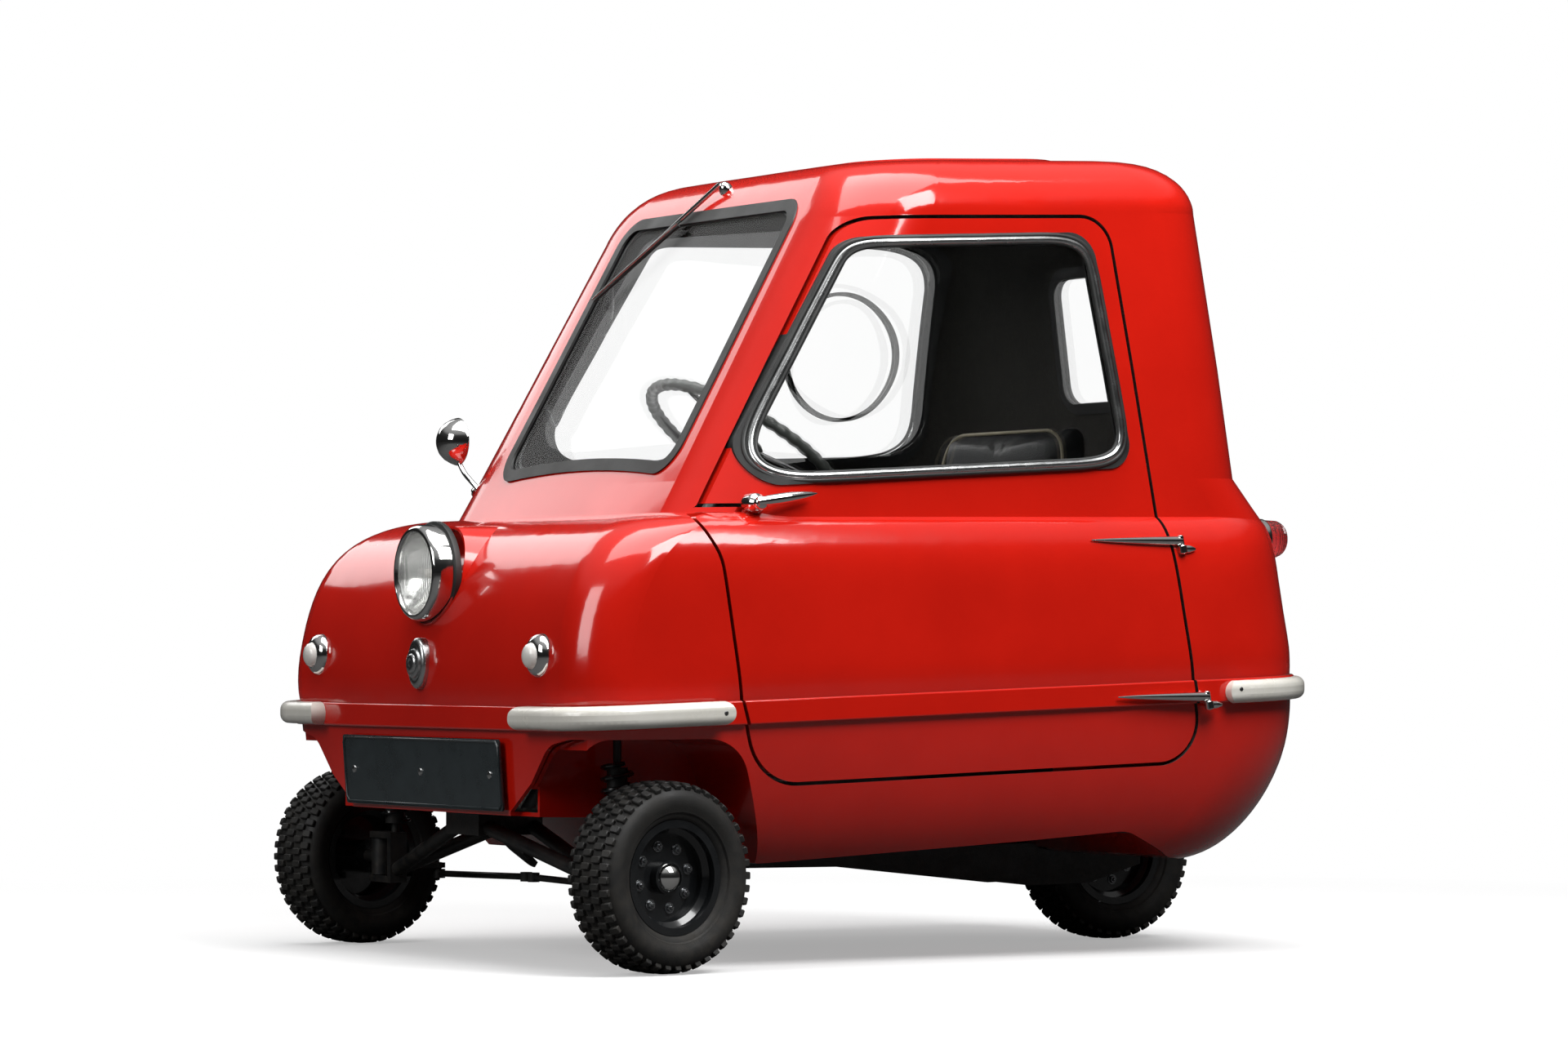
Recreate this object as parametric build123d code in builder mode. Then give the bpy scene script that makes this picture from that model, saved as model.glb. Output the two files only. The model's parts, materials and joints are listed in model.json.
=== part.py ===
"""Three wheeled microcar with one door: body, glass, lamps, seat, steering, suspension and wheels.

Millimetres, +Z up. The nose faces -Y and the door is on the +X side. The origin is on the
ground under the middle of the car. Stations are measured rearwards from the front axle.
"""

from build123d import *
import os
from math import cos, radians, sin

os.makedirs("parts", exist_ok=True)

# Overall places
NOSE_STATION = -133.0
TAIL_STATION = 1184.0
WHEELBASE = 1070.0
TRACK = 942.0
BAND_PROUD = 6.0
FRONT_BUMPER_DEPTH = 24.0
REAR_BUMPER_DEPTH = 16.0
WALL = 6.0
DOOR_THICKNESS = 18.0
DOOR_GAP = 5.5

# The origin is midway between the front and rear bumpers.
FRONT_END = NOSE_STATION - BAND_PROUD - FRONT_BUMPER_DEPTH
REAR_END = TAIL_STATION + BAND_PROUD + REAR_BUMPER_DEPTH
FRONT_AXLE_Y = -(FRONT_END + REAR_END) / 2


def at(station):
    """Turn a station behind the front axle into a Y value."""
    return FRONT_AXLE_Y + station


# Body sections, lowest first. z is the height at the front axle and rise its slope to the rear.
# front and rear are stations on the centre line, half the half width, r_front and r_rear the
# corner radii, drop the share of the wall that the inner skin comes down by.
LOWER_SECTIONS = [
    dict(z=138, rise=0.0, front=-96, rear=1035, half=385, r_front=90, r_rear=190, drop=0),
    dict(z=158, rise=0.0, front=-112, rear=1090, half=430, r_front=85, r_rear=200, drop=0),
    dict(z=215, rise=0.0, front=-122, rear=1142, half=466, r_front=80, r_rear=205, drop=0),
    dict(z=300, rise=0.0, front=-128, rear=1178, half=488, r_front=76, r_rear=200, drop=0),
    dict(z=382, rise=0.034, front=-133, rear=1184, half=497, r_front=75, r_rear=195, drop=0),
]
UPPER_SECTIONS = [
    dict(z=382, rise=0.034, front=-133, rear=1184, half=497, r_front=75, r_rear=195, drop=0),
    dict(z=480, rise=0.02, front=-129, rear=1174, half=497, r_front=78, r_rear=192, drop=0),
    dict(z=560, rise=0.011, front=-104, rear=1162, half=493, r_front=84, r_rear=188, drop=0),
    dict(z=615, rise=0.011, front=-62, rear=1153, half=482, r_front=94, r_rear=180, drop=0.5),
    dict(z=643, rise=0.011, front=-12, rear=1142, half=462, r_front=106, r_rear=165, drop=0.8),
    dict(z=655, rise=0.011, front=50, rear=1122, half=434, r_front=110, r_rear=150, drop=1),
]
CABIN_SECTIONS = [
    dict(z=636, rise=0.011, front=82, rear=1146, half=456, r_front=150, r_rear=150, drop=0),
    dict(z=702, rise=0.015, front=121, rear=1082, half=452, r_front=149, r_rear=129, drop=0),
    dict(z=860, rise=0.025, front=213, rear=1060, half=443, r_front=148, r_rear=128, drop=0),
    dict(z=1080, rise=0.04, front=342, rear=1026, half=427, r_front=142, r_rear=124, drop=0),
]
ROOF_SECTIONS = [
    dict(z=1080, rise=0.04, front=342, rear=1026, half=427, r_front=142, r_rear=124, drop=0),
    dict(z=1120, rise=0.04, front=368, rear=1014, half=415, r_front=135, r_rear=120, drop=0.4),
    dict(z=1148, rise=0.04, front=394, rear=992, half=386, r_front=130, r_rear=120, drop=0.8),
    dict(z=1166, rise=0.04, front=436, rear=948, half=330, r_front=125, r_rear=115, drop=1),
    dict(z=1176, rise=0.04, front=510, rear=872, half=240, r_front=100, r_rear=100, drop=1),
]
NOSE_BOW = 9.0
TAIL_BOW = 26.0

# The moulded band round the waist, where the upper and lower mouldings meet
BAND_HEIGHT = 35.0
BAND_TOP = 382.0
BAND_RISE = 0.034
BAND_ROUND = 3.0

# Underside, seen from the side: station, height, corner radius
UNDERSIDE = [
    (-260, 223, 0),
    (60, 216, 60),
    (192, 150, 40),
    (640, 176, 300),
    (815, 188, 60),
    (915, 146, 60),
    (1010, 136, 0),
    (1400, 120, 0),
]

# Front wheel arches
ARCH_INNER_X = 322.0
ARCH_TOP = 332.0
ARCH_FRONT = -108.0
ARCH_REAR_TOP = 128.0
ARCH_REAR_FOOT = 200.0

# Edge of the apron beside the number plate, seen from the front: half width, height, corner radius
APRON_EDGE = [
    (262, 150, 0),
    (262, 226, 0),
    (330, 268, 60),
    (385, 322, 60),
    (440, 332, 0),
    (620, 332, 0),
    (620, 150, 0),
]

# Rear wheel arch
REAR_ARCH_HALF = 80.0
REAR_ARCH_TOP = 330.0

# Wheels
TYRE_RADIUS = 137.0
TYRE_WIDTH = 98.0
RIM_RADIUS = 82.0
RIM_HALF_WIDTH = 36.0
HUB_RADIUS = 24.0
AXLE_RADIUS = 10.0
RUNNING_FIT = 0.05
CAP_START = 21.0

# Steering. The car is parked with the front wheels turned to its left.
KINGPIN_X = 412.0
KINGPIN_RADIUS = 8.0
REST_STEER = 10.0
STEERING_RATIO = 0.62
STEER_ARM = 98.0
COLUMN_X = 0.0
COLUMN_FOOT = (8.0, 170.0)
COLUMN_HEAD = (410.0, 757.0)
DROP_ARM = 60.0
DROP_ARM_TIP = 9.0
COLUMN_RADIUS = 10.0
COLUMN_CLEARANCE = 12.0
STEERING_WHEEL_RADIUS = 165.0

# Door outline from the side: station, height, corner radius
DOOR_OUTLINE = [
    (366, 1093, 66),
    (120, 664, 12),
    (66, 651, 12),
    (98, 590, 90),
    (126, 385, 60),
    (160, 261, 90),
    (926, 288, 66),
    (798, 1110, 56),
]
DOOR_WINDOW_OUTLINE = [
    (363, 1053, 42),
    (153, 701, 38),
    (816, 739, 28),
    (758, 1073, 38),
]
DOOR_REACH = 300.0
LEDGE_X = 425.0
LEDGE_Z = 664.0
WINDOW_REACH = 60.0
RIGHT_WINDOW_OUTLINE = [
    (484, 1112, 50),
    (264, 742, 55),
    (986, 768, 52),
    (994, 1127, 52),
]
VENT_CENTRE = (843.0, 936.0)
VENT_RADIUS = 103.0
VENT_RING = 3.0
WINDSCREEN_HALF_FOOT = 268.0
WINDSCREEN_HALF_HEAD = 262.0
WINDSCREEN_FOOT_Z = 722.0
WINDSCREEN_HEAD_Z = 1121.0
REAR_WINDOW_HALF = 92.0
REAR_WINDOW_FOOT_Z = 841.0
REAR_WINDOW_HEAD_Z = 1056.0
GLASS_THICKNESS = 4.0
SEAL_WIDTH = 18.0
SEAL_PROUD = 3.0

CAR_HALF_REACH = 900.0


def level(z, rise):
    """A nearly level plane whose height is z at the front axle and climbs to the rear."""
    return Plane(origin=(0, at(0), z), x_dir=(1, 0, 0), z_dir=(0, -rise, 1))


def plan_outline(row, inset, drop):
    """One body section as a face: bowed nose and tail, straight sides and round corners."""
    half = row["half"] - inset
    front = row["front"] + inset
    rear = row["rear"] - inset
    r_front = max(row["r_front"] - inset, 20)
    r_rear = max(row["r_rear"] - inset, 20)
    with BuildSketch(level(row["z"] - row["drop"] * drop, row["rise"])) as section:
        with BuildLine():
            ThreePointArc((-half, front + NOSE_BOW), (0, front), (half, front + NOSE_BOW))
            Line((half, front + NOSE_BOW), (half, rear - TAIL_BOW))
            ThreePointArc((half, rear - TAIL_BOW), (0, rear), (-half, rear - TAIL_BOW))
            Line((-half, rear - TAIL_BOW), (-half, front + NOSE_BOW))
        make_face()
        corners = section.vertices().sort_by(Axis.Y)
        fillet(corners[:2], r_front)
        fillet(section.vertices().sort_by(Axis.Y)[-2:], r_rear)
    return section.sketch.face()


def section_stack(rows, inset, drop, ruled=False):
    """Loft one table of sections, every outline inset by the same amount."""
    with BuildPart() as stack:
        for row in rows:
            add(plan_outline(row, inset, drop))
        loft(ruled=ruled)
    return stack.part


def band_plate(foot, proud, height, edge_radius):
    """A plate with the outline of the widest section, grown outwards, its edges rounded."""
    widest = dict(UPPER_SECTIONS[0])
    widest["z"] = foot
    with BuildPart() as plate:
        add(plan_outline(widest, -proud, 0))
        extrude(amount=height, dir=(0, 0, 1))
        if edge_radius:
            levels = plate.faces().sort_by(Axis.Z)
            fillet(levels[0].edges() + levels[-1].edges(), edge_radius)
    return plate.part


def skin(inset):
    """The closed outer form of the whole body, inset by the given amount."""
    drop = max(inset, 0)
    with BuildPart() as body:
        add(section_stack(LOWER_SECTIONS, inset, drop))
        add(section_stack(UPPER_SECTIONS, inset, drop))
        add(section_stack(CABIN_SECTIONS, inset, drop, ruled=True))
        add(section_stack(ROOF_SECTIONS, inset, drop))
    return body.part


def side_prism(points, grow, x_from, x_to):
    """An outline drawn in the side view and extruded across the car."""
    flat = [(at(station), height) for station, height, radius in points]
    radii = [radius for station, height, radius in points]
    with BuildPart() as prism:
        with BuildSketch(Plane.YZ.offset(x_from)):
            with BuildLine():
                FilletPolyline(*flat, radius=radii, close=True)
            make_face()
            if grow:
                offset(amount=grow, kind=Kind.INTERSECTION)
        extrude(amount=x_to - x_from)
    return prism.part


def end_prism(half_foot, half_head, foot_z, head_z, radius, grow, station_from, station_to, sag=0):
    """A window outline drawn in the front view and extruded along the car."""
    with BuildPart() as prism:
        with BuildSketch(Plane.XZ.offset(-at(station_to))):
            with BuildLine():
                Line((-half_head, head_z), (-half_foot, foot_z))
                if sag:
                    ThreePointArc((-half_foot, foot_z), (0, foot_z + sag), (half_foot, foot_z))
                else:
                    Line((-half_foot, foot_z), (half_foot, foot_z))
                Line((half_foot, foot_z), (half_head, head_z))
                Line((half_head, head_z), (-half_head, head_z))
            outline = make_face()
            fillet(outline.vertices(), radius)
            if grow:
                offset(amount=grow, kind=Kind.ARC)
        extrude(amount=station_to - station_from)
    return prism.part


def underside_prism(grow):
    """What is taken away below the floor, the sills and the tail."""
    foot = [(station, height + grow, radius) for station, height, radius in UNDERSIDE]
    foot += [(1400, -60, 0), (-260, -60, 0)]
    return side_prism(foot, 0, -CAR_HALF_REACH, CAR_HALF_REACH)


def front_arch(side, grow):
    """The space round one front wheel, open to the side and below."""
    points = [
        (ARCH_FRONT - grow, -60, 0),
        (ARCH_FRONT - grow, ARCH_TOP + grow, 30),
        (ARCH_REAR_TOP + grow, ARCH_TOP + grow, 70),
        (ARCH_REAR_FOOT + grow, 130, 0),
        (ARCH_REAR_FOOT + 20 + grow, -60, 0),
    ]
    inner = ARCH_INNER_X - grow
    if side > 0:
        return side_prism(points, 0, inner, CAR_HALF_REACH)
    return side_prism(points, 0, -CAR_HALF_REACH, -inner)


def apron_cut(side):
    """The slanting lower edge of the apron beside the number plate."""
    with BuildPart() as cut:
        with BuildSketch(Plane.XZ.offset(-at(ARCH_FRONT + 4))):
            with BuildLine():
                FilletPolyline(*[(side * x, z) for x, z, radius in APRON_EDGE],
                               radius=[radius for x, z, radius in APRON_EDGE], close=True)
            make_face()
        extrude(amount=120)
    return cut.part


def rear_arch(grow):
    """The space round the rear wheel, open below and behind."""
    points = [
        (WHEELBASE - 165 - grow, -60, 0),
        (WHEELBASE - 165 - grow, 290 + grow, 90),
        (WHEELBASE - 60, REAR_ARCH_TOP + grow, 60),
        (WHEELBASE + 60, REAR_ARCH_TOP + grow, 60),
        (WHEELBASE + 140, 306 + grow, 0),
        (WHEELBASE + 400, 306 + grow, 0),
        (WHEELBASE + 400, -60, 0),
    ]
    return side_prism(points, 0, -REAR_ARCH_HALF - grow, REAR_ARCH_HALF + grow)


def cylinder_between(start, end, radius):
    """A round bar between two points."""
    start, end = Vector(*start), Vector(*end)
    with BuildPart() as bar:
        with BuildSketch(Plane(origin=start, z_dir=end - start)):
            Circle(radius)
        extrude(amount=(end - start).length)
    return bar.part


def block(x_range, station_range, z_range):
    """A plain box between two corners."""
    with BuildPart() as box:
        with BuildSketch(Plane.XY.offset(z_range[0])):
            with Locations(((x_range[0] + x_range[1]) / 2, at(sum(station_range) / 2))):
                Rectangle(x_range[1] - x_range[0], station_range[1] - station_range[0])
        extrude(amount=z_range[1] - z_range[0])
    return box.part


def turned(plane, points, close=True):
    """Revolve an outline of (along, out) points round the plane's X axis."""
    with BuildPart() as body:
        with BuildSketch(plane):
            with BuildLine():
                Polyline(*points, close=close)
            make_face()
        revolve(axis=Axis(plane.origin, plane.x_dir))
    return body.part


def joined(*pieces):
    """Join loose solids into one."""
    with BuildPart() as whole:
        for piece in pieces:
            add(piece)
    return whole.part


def without(piece, *cutters):
    """A piece with what other solids fill taken away."""
    with BuildPart() as rest:
        add(piece)
        for cutter in cutters:
            add(cutter, mode=Mode.SUBTRACT)
    return rest.part


def within(piece, *limits):
    """The part of a piece that lies inside other solids."""
    with BuildPart() as rest:
        add(piece)
        for limit in limits:
            add(limit, mode=Mode.INTERSECT)
    return rest.part


def save(piece, name):
    """Label one finished piece and write it."""
    piece.label = name
    export_step(piece, f"parts/{name}.step")
    print(name, len(piece.solids()), round(piece.volume / 1000), "cm3")


def windscreen_prism(grow):
    """The windscreen opening, with its lower edge arched over the scuttle."""
    return end_prism(WINDSCREEN_HALF_FOOT, WINDSCREEN_HALF_HEAD, WINDSCREEN_FOOT_Z,
                     WINDSCREEN_HEAD_Z, 36, grow, -200, 520, 14)


def rear_window_prism(grow):
    """The rear window opening."""
    return end_prism(REAR_WINDOW_HALF, REAR_WINDOW_HALF - 6, REAR_WINDOW_FOOT_Z,
                     REAR_WINDOW_HEAD_Z, 40, grow, 800, 1300)


def right_window_prism(grow):
    """The long fixed window opposite the door."""
    return side_prism(RIGHT_WINDOW_OUTLINE, grow, -CAR_HALF_REACH, -WINDOW_REACH)


def door_window_prism(grow):
    """The door's window opening."""
    return side_prism(DOOR_WINDOW_OUTLINE, grow, WINDOW_REACH, CAR_HALF_REACH)


def door_prism(gap):
    """The door's outline, which leaves the ledge before the windscreen to the body."""
    ledge = block((0, LEDGE_X + gap), (0, 500), (500, LEDGE_Z + gap))
    return without(side_prism(DOOR_OUTLINE, -gap, DOOR_REACH, CAR_HALF_REACH), ledge)


# The body's outer and inner forms
OUTER = skin(0)
INNER = skin(WALL)
SEAL_OUTER = skin(-SEAL_PROUD)
SEAL_INNER = skin(WALL + SEAL_PROUD)
GLASS_OUTER = skin((WALL - GLASS_THICKNESS) / 2)
GLASS_INNER = skin((WALL + GLASS_THICKNESS) / 2)
DOOR_INNER = skin(DOOR_THICKNESS)
BAND = band_plate(BAND_TOP - BAND_HEIGHT, BAND_PROUD, BAND_HEIGHT, BAND_ROUND)
FORM = joined(OUTER, BAND)
DOOR_HOLE = door_prism(0)
HOLLOW = without(INNER, underside_prism(WALL), front_arch(1, WALL), front_arch(-1, WALL),
                 rear_arch(WALL))
COLUMN_HOLE = cylinder_between((COLUMN_X, at(COLUMN_FOOT[0]), COLUMN_FOOT[1]),
                               (COLUMN_X, at(COLUMN_HEAD[0]), COLUMN_HEAD[1]),
                               COLUMN_RADIUS + COLUMN_CLEARANCE)
COLUMN_HOLE = within(COLUMN_HOLE, block((-100, 100), (-100, 300), (100, 300)))
SHELL = without(FORM, underside_prism(0), front_arch(1, 0), front_arch(-1, 0), apron_cut(1),
                apron_cut(-1), rear_arch(0), HOLLOW, DOOR_HOLE,
                right_window_prism(0),
                windscreen_prism(0), rear_window_prism(0), COLUMN_HOLE)

# Body mouldings, which meet at the band
JOINT_PLANE = level(BAND_TOP - BAND_HEIGHT / 2, BAND_RISE)

with BuildPart() as body_upper:
    add(SHELL)
    split(bisect_by=JOINT_PLANE, keep=Keep.TOP)
save(body_upper.part, "body_upper")

with BuildPart() as body_lower:
    add(SHELL)
    split(bisect_by=JOINT_PLANE, keep=Keep.BOTTOM)
save(body_lower.part, "body_lower")

# Door: the whole thickness of the side, a gap smaller than its hole
with BuildPart() as door:
    add(FORM)
    add(DOOR_INNER, mode=Mode.SUBTRACT)
    add(door_prism(DOOR_GAP), mode=Mode.INTERSECT)
    add(door_window_prism(0), mode=Mode.SUBTRACT)
save(door.part, "door")


def pane(opening):
    """Glass that fills a window opening."""
    with BuildPart() as glass:
        add(GLASS_OUTER)
        add(GLASS_INNER, mode=Mode.SUBTRACT)
        add(opening(-1.0), mode=Mode.INTERSECT)
    return glass.part


def rubber(opening, panel, glass):
    """The rubber round a window, in a strip half on the panel and half on the glass."""
    with BuildPart() as seal:
        add(SEAL_OUTER)
        add(SEAL_INNER, mode=Mode.SUBTRACT)
        add(opening(SEAL_WIDTH / 2), mode=Mode.INTERSECT)
        add(opening(-SEAL_WIDTH / 2), mode=Mode.SUBTRACT)
        add(panel, mode=Mode.SUBTRACT)
        add(glass, mode=Mode.SUBTRACT)
    return seal.part


# Fixed glass with its rubber and the ring of the round vent, then the door's
panes = [pane(opening) for opening in (windscreen_prism, rear_window_prism, right_window_prism)]
rubbers = [
    rubber(windscreen_prism, body_upper.part, panes[0]),
    rubber(rear_window_prism, body_upper.part, panes[1]),
    rubber(right_window_prism, body_upper.part, panes[2]),
]
with BuildPart() as vent_ring:
    with BuildSketch(Plane.YZ.offset(-CAR_HALF_REACH)):
        with Locations((at(VENT_CENTRE[0]), VENT_CENTRE[1])):
            Circle(VENT_RADIUS + VENT_RING)
            Circle(VENT_RADIUS - VENT_RING, mode=Mode.SUBTRACT)
    extrude(amount=CAR_HALF_REACH - 60)
    add(SEAL_OUTER, mode=Mode.INTERSECT)
    add(SEAL_INNER, mode=Mode.SUBTRACT)
    add(panes[2], mode=Mode.SUBTRACT)
save(joined(*panes), "body_glass")
save(joined(*rubbers, vent_ring.part), "body_seals")
door_pane = pane(door_window_prism)
save(door_pane, "door_glass")
save(rubber(door_window_prism, door.part, door_pane), "door_seal")

# Bumpers: one bar to a corner. side, inner edge, station of its end on the side, station beyond
# its end on the nose or tail, height at the axle, depth
BUMPERS = [
    (1, 328.0, 103.0, FRONT_END - 10, 349.0, FRONT_BUMPER_DEPTH),
    (-1, 328.0, 103.0, FRONT_END - 10, 349.0, FRONT_BUMPER_DEPTH),
    (1, 180.0, 958.0, REAR_END + 10, 345.0, REAR_BUMPER_DEPTH),
    (-1, 180.0, 958.0, REAR_END + 10, 345.0, REAR_BUMPER_DEPTH),
]
BUMPER_HEIGHT = 34.0
BUMPER_ROUND = 13.0
BUMPER_END_RADIUS = BUMPER_HEIGHT / 2 + 0.8


def bumper_bar(side, x_end, side_end, outer_end, foot, depth):
    """One corner bumper: a half round bar that follows the band, round at both ends."""
    inwards = BUMPER_END_RADIUS if outer_end > side_end else -BUMPER_END_RADIUS
    x_middle = side * (x_end + BUMPER_END_RADIUS)
    side_middle = side_end + inwards
    outer_z = foot + BUMPER_HEIGHT / 2 + BAND_RISE * outer_end
    side_z = foot + BUMPER_HEIGHT / 2 + BAND_RISE * side_middle
    reach = joined(
        block(sorted((x_middle, side * CAR_HALF_REACH)), sorted((side_middle, outer_end)),
              (foot - BUMPER_HEIGHT, foot + 4 * BUMPER_HEIGHT)),
        cylinder_between((x_middle, at(outer_end), outer_z),
                         (x_middle, at(outer_end - 5 * inwards), outer_z), BUMPER_END_RADIUS),
        cylinder_between((side * KINGPIN_X, at(side_middle), side_z),
                         (side * CAR_HALF_REACH, at(side_middle), side_z), BUMPER_END_RADIUS),
    )
    bar = band_plate(foot, BAND_PROUD + depth, BUMPER_HEIGHT, BUMPER_ROUND)
    inside = band_plate(foot, BAND_PROUD, BUMPER_HEIGHT, 0)
    return without(within(bar, reach), inside, FORM)


save(joined(*[bumper_bar(*row) for row in BUMPERS]), "bumpers")

# Number plates, blank
PLATE_HALF = 260.0
PLATE_HEIGHT = 104.0
PLATE_TOP = 330.0
PLATE_PLANE = Plane(origin=(0, at(-132), PLATE_TOP - PLATE_HEIGHT / 2), x_dir=(1, 0, 0),
                    z_dir=(0, -1, -0.075))
REAR_PLATE_HALF = 140.0
REAR_PLATE_HEIGHT = 150.0
REAR_PLATE_Z = 502.0
with BuildPart() as number_plates:
    with BuildSketch(PLATE_PLANE):
        RectangleRounded(2 * PLATE_HALF, PLATE_HEIGHT, 6)
    extrude(amount=3)
    with BuildSketch(PLATE_PLANE):
        with Locations((-225, 0), (0, 0), (225, 0)):
            Circle(9)
    extrude(amount=-20)
    with BuildSketch(Plane.XZ.offset(-at(TAIL_STATION + 2))):
        with Locations((0, REAR_PLATE_Z)):
            RectangleRounded(2 * REAR_PLATE_HALF, REAR_PLATE_HEIGHT, 6)
    extrude(amount=3)
    with BuildSketch(Plane.XZ.offset(-at(TAIL_STATION + 2))):
        with Locations((-110, REAR_PLATE_Z), (110, REAR_PLATE_Z)):
            Circle(9)
    extrude(amount=40)
    add(FORM, mode=Mode.SUBTRACT)
save(number_plates.part, "number_plates")

# Headlamp: rim, gasket and the fairing that leans down into the nose, then the lens
LAMP_Z = 569.0
LAMP_FACE = -150.0
LAMP_RADIUS = 72.0
GASKET_RADIUS = 77.0
GASKET_DEPTH = 44.0
FAIRING_LEAN = 17.0
FAIRING_LENGTH = 105.0
FAIRING_RADIUS = 110.0
lamp_plane = Plane(origin=(0, at(LAMP_FACE), LAMP_Z), x_dir=(0, 1, 0), z_dir=(1, 0, 0))
fairing_plane = Plane(
    origin=(0, at(LAMP_FACE + GASKET_DEPTH), LAMP_Z),
    x_dir=(0, cos(radians(FAIRING_LEAN)), -sin(radians(FAIRING_LEAN))), z_dir=(1, 0, 0),
)
lamp_bowl = turned(lamp_plane, [
    (8, 0), (8, 60), (2, LAMP_RADIUS), (34, LAMP_RADIUS), (34, GASKET_RADIUS),
    (GASKET_DEPTH, GASKET_RADIUS), (GASKET_DEPTH + 30, GASKET_RADIUS - 12), (GASKET_DEPTH + 30, 0),
])
fairing = turned(fairing_plane, [
    (0, 0), (0, GASKET_RADIUS - 1), (FAIRING_LENGTH, FAIRING_RADIUS), (FAIRING_LENGTH, 0),
])
save(without(lamp_bowl, FORM), "headlamp_bowl")
save(without(fairing, FORM, lamp_bowl), "headlamp_fairing")
save(turned(lamp_plane, [(0, 0), (1, 40), (4, 58), (7.7, 59.7), (7.7, 0)]), "headlamp_lens")

# Sidelights and centre lock on the nose, tail lamps on the tail
SIDELIGHT_X = 366.0
SIDELIGHT_Z = 450.0
with BuildPart() as sidelights:
    for side in (-1, 1):
        plane = Plane(origin=(side * SIDELIGHT_X, at(-151), SIDELIGHT_Z), x_dir=(0, 1, 0),
                      z_dir=(1, 0, 0))
        add(turned(plane, [(-2, 0), (0, 12), (4, 20), (6, 28), (18, 32), (45, 32), (45, 0)]))
    add(FORM, mode=Mode.SUBTRACT)
save(sidelights.part, "sidelights")


LOCK_FACE = -146.0
LOCK_Z = 438.0
with BuildPart() as nose_lock:
    with BuildSketch(Plane.XZ.offset(-at(LOCK_FACE))):
        with Locations((0, LOCK_Z)):
            Ellipse(27, 38)
    extrude(amount=-40)
    with BuildSketch(Plane.XZ.offset(-at(LOCK_FACE))):
        with Locations((0, LOCK_Z)):
            Circle(15)
    extrude(amount=8)
    add(FORM, mode=Mode.SUBTRACT)
save(nose_lock.part, "nose_lock")

TAIL_LAMP_X = 350.0
TAIL_LAMP_FACE = 1170.0
TAIL_LAMP_Z = 628.0
with BuildPart() as tail_lamps:
    for side in (-1, 1):
        plane = Plane(origin=(side * TAIL_LAMP_X, at(TAIL_LAMP_FACE), TAIL_LAMP_Z), x_dir=(0, -1, 0),
                      z_dir=(-1, 0, 0))
        add(turned(plane, [(0, 0), (0, 15), (4, 26), (10, 31), (80, 31), (80, 0)]))
    add(FORM, mode=Mode.SUBTRACT)
save(tail_lamps.part, "tail_lamps")

# Lifting handle on the tail
HANDLE_HALF = 70.0
HANDLE_Z = 610.0
with BuildPart() as lifting_handle:
    with BuildLine() as handle_line:
        FilletPolyline(
            (-HANDLE_HALF, at(1140), HANDLE_Z), (-HANDLE_HALF, at(1184), HANDLE_Z),
            (HANDLE_HALF, at(1184), HANDLE_Z), (HANDLE_HALF, at(1140), HANDLE_Z),
            radius=14,
        )
    with BuildSketch(Plane(origin=(-HANDLE_HALF, at(1140), HANDLE_Z), z_dir=(0, 1, 0))):
        Circle(7)
    sweep()
    add(FORM, mode=Mode.SUBTRACT)
save(lifting_handle.part, "lifting_handle")

# Door furniture
HINGE_LOW = Vector(513, at(920), 383)
HINGE_HIGH = Vector(490, at(888), 616)
HINGE_AXIS = (HINGE_HIGH - HINGE_LOW).normalized()
HINGE_SLEEVE = 7.0
STRAP_SLEEVE = 4.6
HINGE_PIN = 3.0
STRAP_LENGTH = 158.0
STRAP_HEIGHT = 14.0
DOOR_EDGE = 30.0
MOUNT_REAR = -26.0


def hinge_plane(centre):
    """The plane across the hinge axis at one knuckle."""
    return Plane(origin=centre, z_dir=HINGE_AXIS)


def level_bar(centre, points, foot, height):
    """A level bar beside a hinge knuckle, from (outward, forward) points."""
    with BuildPart() as bar:
        with BuildSketch(Plane.XY.offset(centre.Z + foot)):
            with BuildLine():
                Polyline(*[(centre.X + out, centre.Y - ahead) for out, ahead in points],
                         close=True)
            make_face()
        extrude(amount=height)
    return bar.part


def upright(centre, radius, foot, height):
    """A round bar along the hinge axis."""
    with BuildPart() as bar:
        with BuildSketch(hinge_plane(centre).offset(foot)):
            Circle(radius)
        extrude(amount=height)
    return bar.part


straps = []
mounts = []
for centre in (HINGE_LOW, HINGE_HIGH):
    strap = joined(
        level_bar(centre, [(-6, 0), (2, 0), (-1, STRAP_LENGTH), (-6, STRAP_LENGTH)], 0, 12),
        level_bar(centre, [(-2, DOOR_EDGE), (-2, STRAP_LENGTH - 4), (-60, STRAP_LENGTH - 4),
                           (-60, DOOR_EDGE)], 1, 10),
        upright(centre, STRAP_SLEEVE, -1, STRAP_HEIGHT),
    )
    straps.append(without(strap, upright(centre, HINGE_PIN + RUNNING_FIT, -20, 60), FORM))
    mount = joined(
        level_bar(centre, [(-60, -6), (3, -6), (2, MOUNT_REAR), (-60, MOUNT_REAR)], -14, 11),
        level_bar(centre, [(-4, 0), (3, 0), (3, -8), (-4, -8)], -14, 11),
        upright(centre, HINGE_SLEEVE, -14, 12),
        upright(centre, HINGE_PIN, -10, 25),
    )
    mounts.append(without(mount, FORM))
save(joined(*straps), "hinge_straps")
save(joined(*mounts), "hinge_mounts")

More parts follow.
